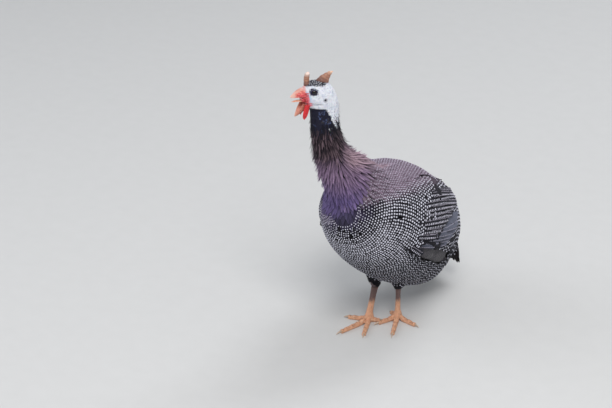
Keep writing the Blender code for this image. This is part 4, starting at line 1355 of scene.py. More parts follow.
    def thighs(self) -> None:
        """Lays short close feathers down each leg to the hock, with a white streak on the right one."""
        for side in Side:
            coat = self.coat()
            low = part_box("thigh_" + side.end)[0].z
            top = Vector((BODY.centre.x + BODY.shift.x + side.value * 0.034, 0.002 + BODY.shift.y, 0.122))
            shank = middle("shank_" + side.end)
            hock = Vector((shank.x, shank.y, low))
            for row in range(self.thigh_rows):
                share = 0.12 + 0.86 * row / (self.thigh_rows - 1)
                centre = top.lerp(hock, share)
                radius = self.thigh_radii[0] + (self.thigh_radii[1] - self.thigh_radii[0]) * share**0.6
                columns = max(11, round(math.tau * radius / self.thigh_pitch))
                for column in range(columns):
                    angle = math.tau * (column + 0.5 * (row % 2)) / columns
                    point = centre + LEFT * (math.cos(angle) * radius) + FRONT * (math.sin(angle) * radius)
                    white = side is Side.RIGHT and abs(angle - 2.3) < 0.45 and share > 0.35
                    chart = (0.04 + 0.92 * column / columns, 0.05 + 0.9 * (1.0 - share))
                    self.lay_thigh(coat, point, low, white, chart)
            self.made.append(coat.piece("coat_thigh_" + side.end, self.material))

    def lay_thigh(self, coat: Coat, point: Vector, low: float, white: bool, chart: tuple) -> None:
        """Lays one feather of a thigh, unless its root lies on the flank or at the hock's edge."""
        place, _ = self.skin.hide.nearest(point)
        if (place - point).length > (0.012 if place.z < 0.085 else 0.004) or place.z < low + 0.003:
            return
        length = min(0.010, (place.z - low) * 1.0 + 0.002)
        dark = blend(self.thigh_dark, self.thigh_light, float(self.rng.random()))
        coat.lay(
            Feather(
                place, UP * -1.0, length, 0.0021, Outline.ROUND,
                self.tone(self.thigh_white if white else dark), 0.0024, -0.0010, chart=chart, camber=0.06,
            )
        )


@dataclass(frozen=True)
class TailForm:
    """The drooping tail of the solids: a bent sheet from the rump to the tips."""

    shift: Vector
    root: Vector = field(default_factory=lambda: Vector((0.005, 0.146, 0.152)))
    tip: Vector = field(default_factory=lambda: Vector((0.005, 0.189, 0.030)))
    root_half: float = 0.034
    tip_half: float = 0.042
    curve: float = 0.007

    def point(self, share: float, x: float, rise: float) -> Vector:
        """A point of the tail: share runs from root to tip, x to the left, rise out of its upper face."""
        way = (self.tip - self.root).normalized()
        bent = rise - self.curve * (x / self.tip_half) ** 2
        return self.shift + self.root.lerp(self.tip, share) + LEFT * x + LEFT.cross(way) * bent

    def walk(
        self, start: float, end: float, aside: float, spread: tuple, rise: float, shares: Sequence[float]
    ) -> list[Stop]:
        """The stops of one feather of the fan.

        Args:
            start: share of the tail at its root.
            end: share at its tip.
            aside: its place across the fan, -1 to 1.
            spread: where the fan's edge lies at root and tip, against the tail's half width.
            rise: its height over the sheet.
            shares: the shares of its length where it has cross-sections.

        Returns:
            Place, normal and direction at each share and at the tip.
        """
        stops = []
        for share in (*shares, 1.0):
            down = start + (end - start) * share
            x = aside * (spread[0] * self.root_half * (1.0 - share) + spread[1] * self.tip_half * share)
            place = self.point(down, x, rise)
            way = (self.point(down + 0.02, x, rise) - self.point(down - 0.02, x, rise)).normalized()
            across = (self.point(down, x + 0.002, rise) - self.point(down, x - 0.002, rise)).normalized()
            stops.append((place, across.cross(way).normalized(), way))
        return stops

    def edge(
        self, start: float, end: float, sign: int, rise: float, over: float, shares: Sequence[float]
    ) -> list[Stop]:
        """The stops of a feather that lies flat against one side of the tail, facing outward."""
        stops = []
        for share in (*shares, 1.0):
            down = start + (end - start) * share
            half = self.root_half + (self.tip_half - self.root_half) * down
            place = self.point(down, sign * half * 0.90, rise) + LEFT * (sign * over)
            way = (self.point(down + 0.02, 0.0, rise) - self.point(down - 0.02, 0.0, rise)).normalized()
            stops.append((place, LEFT * sign, way))
        return stops


TAIL = TailForm(HEAD.centre - SOLID_HEAD)


@dataclass(frozen=True)
class Spot:
    """Where a pearl is to be set: its place near the coat, the way out and its radius."""

    place: Vector
    out: Vector
    radius: float
    fine: float = 0.0
    way: Vector | None = None
    stretch: float = 1.0
    placed: bool = True


@dataclass
class Wings:
    """The folded wings: long feathers in a stack, each showing a strip along its lower edge."""

    plumage: Plumage
    rows: int = 11
    first_root: tuple[float, float] = (0.30, 57.0)
    last_root: tuple[float, float] = (0.20, 103.0)
    half_width: float = 0.0086
    lengths: tuple[float, float] = (0.166, 0.100)
    panel_rows: int = 6
    panel_root: tuple[float, float] = (0.34, 84.0)
    panel_step: tuple[float, float] = (0.05, 19.0)
    panel_lengths: tuple[float, float] = (0.124, 0.022)
    panel_half_width: float = 0.0105
    pitches: tuple[float, float] = (0.0042, 0.0032)
    radii: tuple[float, float] = (0.00136, 0.00072)
    fineness: tuple[float, float] = (0.25, 0.8)
    stretch: float = 1.34
    spots: list[Spot] = field(default_factory=list)

    def build(self) -> None:
        """Lays both wings, one piece each."""
        for side in Side:
            coat = self.plumage.coat()
            for row in range(self.panel_rows - 1, -1, -1):
                self.lay_panel(coat, side, row / (self.panel_rows - 1))
            for row in range(self.rows - 1, -1, -1):
                self.lay_row(coat, side, row / (self.rows - 1))
            name = "wing_feathers_" + side.end
            self.plumage.made.append(coat.piece(name, self.plumage.material, ("wing_" + side.end,)))

    def lay_row(self, coat: Coat, side: Side, down: float) -> None:
        """Lays one spotted feather of the stack: down is 0 for the uppermost and 1 for the lowest."""
        share = self.first_root[0] + (self.last_root[0] - self.first_root[0]) * down
        angle = math.radians(self.first_root[1] + (self.last_root[1] - self.first_root[1]) * down)
        root, _ = coat.hide.nearest(BODY.point(share, side.value * angle))
        length = self.lengths[0] - self.lengths[1] * down
        way = Vector((0.0, 1.0, -0.24 - 0.06 * (1.0 - down)))
        walk = coat.hide.follow(root, way, length, Outline.FLIGHT.shares)
        tone = self.plumage.tone(blend(MARKS.black, MARKS.slate, 0.25), 0.2, 0.3)
        coat.lay(
            Feather(
                root, way, length, self.half_width, Outline.FLIGHT, tone, sunk=0.004,
                rise=0.0012 + 0.0026 * (1.0 - down), chart=Skin.chart(root), camber=0.05,
                lean=-0.0007 * side.value, walk=walk,
            )
        )
        self.string(walk, side, length, 0.50, False)
        for aside in (-0.12, -0.50, -0.85) if down == 0.0 else (-0.12,):
            self.string(walk, side, length, aside, True)

    def string(self, walk: list[Stop], side: Side, length: float, aside: float, fine: bool) -> None:
        """Notes a row of spots along a feather, aside from its shaft by a share of its half width."""
        count = int(length * 0.86 / self.pitches[fine])
        for k in range(count):
            index, part = locate(Outline.FLIGHT.shares, 0.08 + 0.86 * (k + 0.5) / count)
            place = walk[index][0].lerp(walk[index + 1][0], part)
            out = walk[index][1].lerp(walk[index + 1][1], part).normalized()
            lower = out.cross(walk[index][2]) * -side.value
            place = place + lower * (self.half_width * aside)
            self.spots.append(Spot(place, out, self.radii[fine], self.fineness[fine], lower, self.stretch))

    def lay_panel(self, coat: Coat, side: Side, down: float) -> None:
        """Lays one plain grey feather of the panel at the wing's lower rear."""
        angle = math.radians(self.panel_root[1] + self.panel_step[1] * down)
        share = self.panel_root[0] - self.panel_step[0] * down
        root, _ = coat.hide.nearest(BODY.point(share, side.value * angle))
        way = Vector((0.0, 1.0, -0.30))
        length = self.panel_lengths[0] - self.panel_lengths[1] * down
        walk = coat.hide.follow(root, way, length, Outline.FLIGHT.shares)
        self.string(walk, side, length, 0.9, True)
        coat.lay(
            Feather(
                root, way, length, self.panel_half_width, Outline.FLIGHT,
                self.plumage.tone(MARKS.panel, 0.15, 0.2), rise=0.0006 + 0.0016 * (1.0 - down),
                chart=Skin.chart(root), camber=0.05, lean=-0.0006 * side.value, walk=walk,
            )
        )


@dataclass(frozen=True)
class Tier:
    """One row of feathers in the tail's fan."""

    count: int
    start: float
    end: float
    spread: tuple[float, float]
    height: float
    step: float
    half: float


@dataclass
class Tail:
    """The tail's fan of long feathers with rows of shorter coverts over and under it."""

    plumage: Plumage
    tiers: tuple[Tier, ...] = (
        Tier(9, 0.10, 0.90, (0.60, 0.90), -0.0040, -0.0004, 0.0080),
        Tier(9, 0.02, 0.66, (0.62, 0.88), -0.0064, -0.0004, 0.0080),
        Tier(8, -0.06, 0.42, (0.66, 0.90), -0.0088, -0.0004, 0.0080),
        Tier(13, 0.10, 1.00, (0.62, 0.94), 0.0020, 0.00055, 0.0068),
        Tier(11, 0.04, 0.74, (0.66, 0.92), 0.0046, 0.00055, 0.0070),
        Tier(10, -0.06, 0.48, (0.70, 0.94), 0.0072, 0.00050, 0.0074),
    )
    edge_rises: tuple = (-0.003, 0.003, -0.005, 0.002, -0.002, 0.004)
    edge_ends: tuple = (0.95, 0.90, 0.74, 0.66, 0.50, 0.38)
    edge_half: float = 0.0066
    spot_radius: float = 0.00150
    spot_rows: int = 13
    spots: list[Spot] = field(default_factory=list)

    def build(self) -> None:
        """Lays the fan as one piece."""
        coat = self.plumage.coat()
        for tier in self.tiers:
            for k in range(tier.count):
                aside = 2.0 * k / (tier.count - 1) - 1.0
                level = tier.height - tier.step * abs(k - (tier.count - 1) / 2.0)
                reach = tier.end * (1.0 - 0.04 * aside**2) + self.plumage.rng.uniform(-0.012, 0.012)
                walk = TAIL.walk(tier.start, reach, aside, tier.spread, level, Outline.FLIGHT.shares)
                chart = (0.5 + 0.45 * aside, 0.1 + 0.4 * max(tier.start, 0.0))
                self.lay(coat, walk, tier.half, 0.08, chart)
                self.string(walk, tier.half, tier.end, math.copysign(1.0, tier.height))
        for side in Side:
            for index, (rise, end) in enumerate(zip(self.edge_rises, self.edge_ends)):
                walk = TAIL.edge(-0.08, end, side.value, rise, 0.0004 * index, Outline.FLIGHT.shares)
                self.lay(coat, walk, self.edge_half, 0.10, (0.5 + 0.47 * side.value, 0.1 + 0.06 * index))
                self.string(walk, self.edge_half, end, 1.0)
        self.plumage.made.append(coat.piece("tail_feathers", self.plumage.material, ("tail",)))

    def lay(self, coat: Coat, walk: list[Stop], half: float, camber: float, chart: tuple) -> None:
        """Lays one feather of the tail along its own walk."""
        coat.lay(
            Feather(
                walk[0][0], walk[0][2], 0.0, half, Outline.FLIGHT, self.tone, sunk=0.0, rise=0.0,
                chart=chart, camber=camber, walk=walk,
            )
        )

    @staticmethod
    def tone(flat: np.ndarray, draw: float) -> np.ndarray:
        """Slate at the root, near black at the tip."""
        colour = blend(MARKS.slate, MARKS.tail_end, smoothstep(0.3, 0.9, flat[:, 1]))
        return colour * (0.85 + 0.3 * draw)

    def string(self, walk: list[Stop], half: float, end: float, face: float) -> None:
        """Notes two rows of spots on a feather's outer face, up to its dark tip."""
        for k in range(1, self.spot_rows):
            share = 0.25 + 0.75 * k / self.spot_rows
            if end > 0.8 and share > 0.84:
                continue
            index, part = locate(Outline.FLIGHT.shares, share)
            place = walk[index][0].lerp(walk[index + 1][0], part)
            across = walk[index][1].cross(walk[index][2])
            for aside in (-0.5, 0.5):
                spot = Spot(place + across * (half * aside), walk[index][1] * face, self.spot_radius)
                self.spots.append(spot)


@dataclass
class Pearls:
    """The white spots: small domed discs that lie on the finished coat in staggered rows."""

    plumage: Plumage
    material: Material
    pitches: tuple[float, float] = (0.0042, 0.0054)
    radii: tuple[float, float] = (0.245, 0.385)
    fine_radius: float = 0.205
    reaches: tuple[float, float] = (0.0075, 0.026)
    ends: tuple[float, float] = (0.012, 0.985)
    sides: int = 7
    dome: float = 0.00022
    lift: float = 0.00012
    under: float = 0.0003
    patch: float = 0.002
    rng: np.random.Generator = field(default_factory=lambda: np.random.default_rng(SEED + 1))
    tree: BVHTree = field(init=False)
    dressed: list[bool] = field(default_factory=list)

    def __post_init__(self) -> None:
        """Takes the finished feathers as one surface, and notes which faces have spots of their own."""
        self.tree = Hide(*self.plumage.made).tree
        for piece in self.plumage.made:
            own = piece.name.startswith(("wing_", "tail_", "coat_thigh"))
            self.dressed.extend([own] * len(piece.data.polygons))

    def lattice(self) -> dict[str, list[Spot]]:
        """The spots of the body by sector, in rows on its own shape, finer on the back and by the collar."""
        sectors: dict[str, list[Spot]] = {"pearls_left": [], "pearls_right": [], "pearls_back": []}
        share = self.ends[0]
        half_row = 0
        while share < self.ends[1]:
            half_row += 1
            pitch = self.pitches[0] + (self.pitches[1] - self.pitches[0]) * eased(0.05, 0.60, share)
            slope = (BODY.point(share + 0.004, 1.3) - BODY.point(share - 0.004, 1.3)).length / 0.008
            share += 0.5 * pitch / slope
            columns = max(6, round(BODY.girth(share) / pitch))
            for column in range(columns):
                turn = (column + 0.5 * (half_row // 2 % 2) + 0.5 * (half_row % 2)) / columns
                angle = math.tau * (turn + self.rng.normal(0.0, 0.045) / columns)
                angle = (angle + math.pi) % math.tau - math.pi
                point = BODY.point(share + self.rng.normal(0.0, 0.0005), angle)
                fine = max(MARKS.back_share(point), eased(-0.034, -0.004, MARKS.above_edge(point)))
                if half_row % 2 and fine < 0.5:
                    continue
                name = "pearls_back" if abs(angle) < 1.0 else "pearls_left" if angle > 0.0 else "pearls_right"
                sectors[name].append(self.scattered(point, share, pitch, fine))
        return sectors

    def scattered(self, point: Vector, share: float, pitch: float, fine: float) -> Spot:
        """A spot of the lattice: it faces away from the axis, and is boldest on the flank."""
        inward = share + 0.30 * max(0.0, 1.0 - share / 0.45) - 0.18 * max(0.0, (share - 0.80) / 0.20)
        flank = eased(0.11, 0.20, point.z) * eased(0.02, 0.12, share)
        bold = self.radii[0] + (self.radii[1] - self.radii[0]) * flank
        radius = pitch * (bold + (self.fine_radius - bold) * fine)
        return Spot(point, (point - BODY.axis(inward)).normalized(), radius, fine, placed=False)

    def build(self, name: str, spots: Sequence[Spot]) -> None:
        """Sets each spot on the coat where a ray from outside meets it."""
        points: list[Vector] = []
        faces: list[tuple[int, ...]] = []
        charts: list[tuple[float, float]] = []
        tones: list[np.ndarray] = []
        for spot in spots:
            disc = self.disc(spot)
            if not disc:
                continue
            start = len(points)
            points.extend(disc)
            for k in range(self.sides):
                rim = start + 2 + k
                after = start + 2 + (k + 1) % self.sides
                faces.append((start, rim, after))
                faces.append((start + 1, after, rim))
            charts.extend([Skin.chart(spot.place)] * len(disc))
            tone = blend(MARKS.pearl, MARKS.pearl_fine, spot.fine) * self.rng.uniform(0.82, 1.0)
            tones.extend([tone] * len(disc))
        made = new_piece(name, points, faces)
        within = np.array([(point.x, point.z) for point in points]) * 0.3 % self.patch
        write_map(made.data, "OFBake", np.array(charts) + within)
        write_tones(made.data, np.array(tones))
        dress(made, self.material)

    def disc(self, spot: Spot) -> list[Vector]:
        """The points of one disc, top, underside and rim, or none off the coat or on the plain collar."""
        share, angle = BODY.shares(spot.place)
        front = share < 0.27 or (share < 0.42 and angle < 1.3)
        reach = self.reaches[front] + 0.006 * (share > 0.85)
        far = max(reach, 0.018) + 0.002
        hit, normal, face, _ = self.tree.ray_cast(spot.place + spot.out * far, spot.out * -1.0, 2.0 * far)
        if hit is None or (hit - spot.place).length > reach or self.dressed[face] != spot.placed:
            return []
        if MARKS.collar_share(hit) > self.rng.uniform(0.05, 0.6) or MARKS.mantle_share(hit) > 0.45:
            return []
        if normal.dot(spot.out) < 0.0:
            normal = normal * -1.0
        normal = (normal + spot.out).normalized()
        aside = spot.way or (UP if abs(normal.z) < 0.9 else LEFT)
        across = normal.cross(aside).normalized()
        over = normal.cross(across)
        radius = spot.radius * self.rng.uniform(0.88, 1.12)
        long = self.rng.uniform(0.90, 1.10) / spot.stretch
        points = [hit + normal * (self.lift + self.dome), hit - normal * self.under]
        for k in range(self.sides):
            turn = math.tau * k / self.sides
            rim = hit + across * (math.cos(turn) * radius * long) + over * (math.sin(turn) * radius / long)
            place, _, _, _ = self.tree.ray_cast(rim + normal * 0.003, normal * -1.0, 0.006)
            points.append((place if place is not None else rim) + normal * self.lift)
        return points


@dataclass
class Head:
    """The pieces that stand on the head: bill, tongue, horns, wattles, eyes and small feathers."""

    skin: Skin
    folds: int = 6
    fold_steps: int = 8
    fold_radius: float = 0.00115
    lid_rings: tuple = ((0.86, 0.10, 0.00050), (1.10, 0.06, 0.00062))
    lid_steps: int = 48
    eye_rings: int = 24
    eye_sides: int = 40
    cornea: float = 0.035
    cornea_reach: float = 0.55
    casque_ends: tuple = ((-0.0148, 0.0, 0.0105), (-0.0300, 0.0, 0.0285))
    knob_ends: tuple = ((0.0085, 0.0, 0.008), (0.0072, 0.0, 0.0290))
    crown_feathers: int = 520
    nape_hairs: int = 260
    dark: Colour = (0.014, 0.012, 0.030)
    pale: Colour = (0.84, 0.87, 0.94)
    rng: np.random.Generator = field(default_factory=lambda: np.random.default_rng(SEED + 2))

    def carved(self, node: str, material: Material, cell: float, push: Push) -> None:
        """Replaces one node by a finer copy of its own form, with its surface worked over."""
        made = merged_copy(node + "_form", (node,), cell, 4, 0.00018)
        sculpt(made, push)
        dress(made, material, (node,), Skin.head_chart)

    def build(self, face: Material) -> None:
        """Makes every piece of the head."""
        upper = BillFinish("bill_upper", (0.58, 0.22, 0.19), (0.66, 0.30, 0.24), (0.85, 0.56, 0.48), True)
        self.carved("beak_upper", upper.build(), 0.00042, self.grain(0.00016, 500.0))
        lower = BillFinish("bill_lower", (0.36, 0.060, 0.045), (0.56, 0.23, 0.16), (0.80, 0.50, 0.38))
        self.carved("beak_lower", lower.build(), 0.00042, self.grain(0.00034, 330.0))
        tongue = WetFinish("tongue", (0.82, 0.44, 0.28), (0.64, 0.24, 0.14), (0.88, 0.62, 0.48))
        self.carved("tongue", tongue.build(), 0.00035, self.groove)
        wattle = WetFinish("wattle", (0.70, 0.008, 0.018), (0.38, 0.003, 0.008), (0.84, 0.07, 0.08), 0.12)
        wattle_skin = wattle.build()
        for side in Side:
            self.carved("wattle_" + side.end, wattle_skin, 0.00038, self.grain(0.00035, 420.0))
            self.eye(side)
            self.lids(side, face)
        flesh = WetFinish("gape_skin", (0.74, 0.050, 0.065), (0.36, 0.008, 0.014), (0.92, 0.34, 0.38), 0.12)
        self.gape(flesh.build())
        foot, tip = (HEAD.point(*end) for end in self.casque_ends)
        horn = HornFinish("casque", foot, tip)
        self.carved("casque", horn.build(), 0.0005, self.ringed(foot, 0.0045, 0.00030))
        foot, tip = (HEAD.point(*end) for end in self.knob_ends)
        knob = HornFinish("brow_knob", foot, tip, tip=(0.84, 0.66, 0.58))
        self.carved("brow_knob", knob.build(), 0.00045, self.ringed(foot, 0.0040, 0.00022))

    def lids(self, side: Side, material: Material) -> None:
        """Two wrinkled rings of lid round an eye, the inner one pulled to an almond."""
        points: list = []
        faces: list = []
        for opening, squash, radius in self.lid_rings:
            path = []
            for k in range(self.lid_steps + 1):
                angle = math.tau * k / self.lid_steps
                ripple = 0.03 * noise.noise(Vector((3.0 * k, side.value, 0.0)))
                polar = opening + squash * math.cos(2.0 * angle) + ripple
                path.append(HEAD.eye_point(side, polar, angle, 1.03))
            self.tube(points, faces, path, [radius] * len(path))
        made = new_piece("lids_" + side.end, points, faces)
        sculpt(made, self.grain(0.00018, 900.0))
        dress(made, material, chart=Skin.head_chart)

    def gape(self, material: Material) -> None:
        """Ropes of wrinkled red skin from the corners of the open bill forward along its sides."""
        around = merged_copy("gape_form", ("beak_upper", "beak_lower", "tongue", "head"), 0.0006, 2, 0.0)
        tree = Hide(around).tree
        bpy.data.objects.remove(around)
        points: list = []
        faces: list = []
        steps = [step / self.fold_steps for step in range(self.fold_steps + 1)]
        swell = [0.35 + 0.65 * math.sin(math.pi * (0.15 + 0.80 * along)) for along in steps]
        for side in Side:
            for k in range(self.folds):
                path = []
                for along in steps:
                    x, z = self.fold(k, along)
                    origin = HEAD.point(x, side.value * 0.03, z)
                    hit, _, _, _ = tree.ray_cast(origin, HEAD.left * -side.value, 0.0285)
                    local = HEAD.inside(hit).y if hit else side.value * 0.0042
                    path.append(HEAD.point(x, local + side.value * 0.0003, z))
                self.tube(points, faces, path, [self.fold_radius * share for share in swell])
        made = new_piece("gape_folds", points, faces)
        sculpt(made, self.grain(0.00030, 700.0))
        dress(made, material, chart=Skin.head_chart)

    def fold(self, number: int, along: float) -> tuple[float, float]:
        """The x and z, in the head's frame, of a fold at the gape; along runs forward from 0 to 1."""
        share = number / (self.folds - 1)
        x = 0.0072 + 0.0010 * share + (0.0165 - 0.0075 * share) * along
        wave = 0.0007 * math.sin(7.0 * along + 2.0 * number)
        return x, -0.0026 - 0.0150 * share - (0.0030 - 0.0040 * share) * along + wave

    @staticmethod
    def tube(
        points: list, faces: list, path: Sequence[Vector], radii: Sequence[float], sides: int = 10
    ) -> None:
        """Adds a closed round rope along a path, with a radius at each of its points."""
        start = len(points)
        for k, (place, radius) in enumerate(zip(path, radii)):
            way = (path[min(k + 1, len(path) - 1)] - path[max(k - 1, 0)]).normalized()
            across = way.cross(UP if abs(way.z) < 0.8 else FRONT).normalized()
            over = way.cross(across)
            for side in range(sides):
                angle = math.tau * side / sides
                points.append(place + (across * math.cos(angle) + over * math.sin(angle)) * radius)
        last = start + (len(path) - 1) * sides
        faces.extend(grid_faces(start, len(path), sides))
        faces.append(tuple(start + side for side in range(sides)))
        faces.append(tuple(last + side for side in reversed(range(sides))))

    @staticmethod
    def grain(depth: float, scale: float) -> Push:
        """A push in and out by noise."""
        return lambda place, normal: normal * (depth * noise.fractal(place * scale, 0.8, 2.0, 3))

    @staticmethod
    def ringed(foot: Vector, spacing: float, depth: float) -> Push:
        """Growth rings round a horn, at a spacing, with some noise."""

        def push(place: Vector, normal: Vector) -> Vector:
            along = (place - foot).length + 0.0006 * noise.noise(place * 300.0)
            ring = depth * math.sin(math.tau * along / spacing)
            return normal * (ring + 0.4 * depth * noise.noise(place * 700.0))

        return push

    @staticmethod
    def groove(place: Vector, normal: Vector) -> Vector:
        """A shallow groove down the tongue's middle, and small bumps."""
        local = HEAD.inside(place)
        middle_line = math.exp(-((local.y / 0.0008) ** 2)) * max(normal.z, 0.0)
        return normal * (0.00012 * noise.noise(place * 900.0) - 0.0005 * middle_line)

    def eye(self, side: Side) -> None:
        """Replaces an eye by a finer ball with a raised cornea."""
        points = []
        for i in range(self.eye_rings + 1):
            polar = math.pi * i / self.eye_rings
            bulge = 1.0 + self.cornea * math.exp(-((polar / self.cornea_reach) ** 2))
            for k in range(self.eye_sides):
                points.append(HEAD.eye_point(side, polar, math.tau * k / self.eye_sides, bulge))
        made = new_piece("eyeball_" + side.end, points, grid_faces(0, self.eye_rings + 1, self.eye_sides))
        finish = EyeFinish("eye_" + side.end, side)
        dress(made, finish.build(), ("eye_" + side.end,), Skin.head_chart)

    def feathers(self, material: Material) -> None:
        """Lays the tiny curled feathers of the crown and the loose black hairs of the nape."""
        coat = Coat(self.skin.head, self.rng)
        for _ in range(self.crown_feathers):
            x = self.rng.uniform(-0.019, 0.010)
            place, _ = coat.hide.nearest(HEAD.point(x, self.rng.uniform(-0.010, 0.010), 0.012))
            local = HEAD.inside(place)
            if local.z < 0.0090 + 0.25 * max(0.0, -local.x - 0.012):
                continue
            base = self.pale if self.rng.random() < 0.40 else self.dark
            way = HEAD.forward * -1.0 + HEAD.left * self.rng.uniform(-0.8, 0.8)
            self.hair(coat, place, way, (0.0026, 0.00050), base, 0.0008)
        for _ in range(self.nape_hairs):
            share = self.rng.random() ** 0.5
            angle = math.pi + self.rng.normal(0.0, 0.55)
            x, y = -0.019 + 0.026 * math.cos(angle), 0.018 * math.sin(angle)
            place, normal = coat.hide.nearest(HEAD.point(x, y, -0.024 - 0.050 * share))
            way = UP * -1.0 + normal * 0.35 + HEAD.left * self.rng.uniform(-0.3, 0.3)
            length = 0.0055 + 0.0065 * share * self.rng.random()
            curl = 0.0022 + 0.0030 * share * self.rng.random()
            self.hair(coat, place, way, (length, 0.00028), self.dark, curl)
        coat.piece("head_feathers", material)

    @staticmethod
    def hair(coat: Coat, place: Vector, way: Vector, size: tuple, base: Colour, curl: float) -> None:
        """Lays one small feather or hair of the head, with its length and half width in size."""

        def shade(flat: np.ndarray, draw: float) -> np.ndarray:
            return np.repeat((np.asarray(base) * (0.7 + 0.6 * draw))[None, :], len(flat), axis=0)

        coat.lay(
            Feather(
                place, way, *size, Outline.HAIR, shade, sunk=0.0004, rise=0.0002, curl=curl,
                chart=Skin.head_chart(place),
            )
        )


@dataclass(frozen=True)
class Legs:
    """The bare legs: scaly skin over shank and foot, plates down the front and over the toes, and claws."""

    cell: float = 0.00075
    claw_cell: float = 0.00035
    flat: float = 0.0007
    plate_pitch: float = 0.0036
    plate_wrap: float = math.radians(62)
    plate_lift: float = 0.00045
    plate_columns: int = 8
    shank_half: tuple[float, float] = (0.0039, 0.0058)
    toe_radii: tuple[float, float] = (0.0044, 0.0032)
    knuckle: float = 0.013
    toes: tuple = (
        ("middle", 0.0, 0.055, 0.0, 0.060),
        ("outer", 57.0, 0.037, 56.0, 0.034),
        ("inner", -48.0, 0.036, -38.0, 0.049),
        ("hind", -140.0, 0.018, -136.0, 0.016),
    )
    turns: tuple = (math.radians(22), math.radians(17))
    feet: tuple = ((0.0245, 0.0055), (-0.0105, -0.0275))
    hocks: tuple = ((0.0225, 0.0095, 0.057), (-0.0110, -0.0090, 0.058))

    def build(self) -> None:
        """Makes both legs."""
        skin = LegFinish().build()
        claw = ClawFinish().build()
        for side in Side:
            nodes = ("shank_" + side.end, "foot_" + side.end)
            leg = merged_copy("leg_" + side.end, nodes, self.cell, 3, 0.0002)
            sculpt(leg, self.scales)
            dress(leg, skin, nodes, self.chart)
            self.plates(side, skin)
            for toe in self.toes:
                node = f"claw_{side.end}_{toe[0]}"
                made = merged_copy(node + "_form", (node,), self.claw_cell, 3, 0.0001)
                dress(made, claw, (node,))

    @staticmethod
    def chart(place: Vector) -> tuple[float, float]:
        """The legs' own unwrap, along the height and over the toes."""
        return 0.5 + place.x * 2.0, 0.05 + place.z * 6.0 + place.y * 2.0

    @staticmethod
    def scales(place: Vector, normal: Vector) -> Vector:
        """Small pads under the toes and fine roughness all over, with the standing flats left alone."""
        if place.z < Legs.flat:
            return Vector((0.0, 0.0, 0.0))
        push = 0.00016 * noise.fractal(place * 520.0, 0.8, 2.0, 3) + 0.00012 * noise.noise(place * 900.0)
        return normal * push

    def plates(self, side: Side, skin: Material) -> None:
        """Rows of overlapping plates down the front of the shank and over each toe."""
        index = 0 if side is Side.LEFT else 1
        foot = Vector((*self.feet[index], 0.0)) + BODY.shift
        hock = Vector(self.hocks[index]) + BODY.shift
        turn = self.turns[index]
        heading = self.toe_way(turn, side, 0.0)
        points: list = []
        faces: list = []
        top = hock - UP * 0.001
        low = foot + UP * 0.013
        count = round((top - low).length / self.plate_pitch)
        for k in range(count):
            share = (k + 0.5) / count
            swell = 1.0 + 0.28 * (1.0 - BODY.bulge(0.02 + 0.96 * share, 0.5, 1.0, 1.0))
            half = (self.shank_half[0] * swell, self.shank_half[1] * swell)
            self.plate(points, faces, top.lerp(low, share), (low - top).normalized(), heading, half)
        for name, *sizes in self.toes:
            angle, length = sizes[2 * index : 2 * index + 2]
            way = self.toe_way(turn, side, angle)
            count = round((length - 0.006) / self.plate_pitch)
            for k in range(count):
                share = (k + 1.0) / (count + 0.5)
                base = self.toe_radii[0] + (self.toe_radii[1] - self.toe_radii[0]) * share
                joints = max(2, round(length / self.knuckle))
                radius = base * (1.0 + 0.09 * math.cos(math.tau * joints * share))
                lift = 0.0050 * (1.0 - eased(0.0, 0.35, share))
                centre = foot + way * (0.001 + length * share) + UP * (radius * 0.86 + lift)
                self.plate(points, faces, centre, way, UP, (radius, radius))
        made = new_piece("scutes_" + side.end, points, faces)
        dress(made, skin, chart=self.chart)

    def plate(
        self, points: list, faces: list, centre: Vector, way: Vector, out: Vector, half: tuple
    ) -> None:
        """Adds a curved plate that wraps the limb on the side of out, its far edge over the next one."""
        across = way.cross(out).normalized()
        out = across.cross(way).normalized()
        start = len(points)
        columns = self.plate_columns
        shares = [2.0 * k / columns - 1.0 for k in range(columns + 1)]
        reach = self.plate_pitch * 0.62
        rows = ((-reach, 0.0), (0.0, self.plate_lift * 1.2), (reach * 0.8, self.plate_lift), (reach, -0.0002))
        for along, lift in rows:
            for share in shares:
                angle = self.plate_wrap * share
                edge = 1.0 - 0.35 * abs(share) ** 3
                raised = lift * edge - 0.0001
                aside = across * (math.sin(angle) * (half[0] + raised))
                over = out * (math.cos(angle) * (half[1] + raised))
                points.append(centre + way * (along * edge) + aside + over)
        for share in shares:
            angle = self.plate_wrap * share
            aside = across * (math.sin(angle) * (half[0] - 0.0006))
            points.append(centre + aside + out * (math.cos(angle) * (half[1] - 0.0006)))
        row = columns + 1
        for r in range(5):
            for k in range(columns):
                a = start + r * row + k
                b = start + (r + 1) % 5 * row + k
                faces.append((a, a + 1, b + 1, b))
        faces.append(tuple(start + r * row for r in range(5)))
        faces.append(tuple(start + r * row + columns for r in range(4, -1, -1)))

    @staticmethod
    def toe_way(turn: float, side: Side, angle: float) -> Vector:
        """The direction of a toe on the floor; positive angles turn it outward."""
        heading = turn + math.radians(angle)
        return Vector((side.value * math.sin(heading), -math.cos(heading), 0.0))


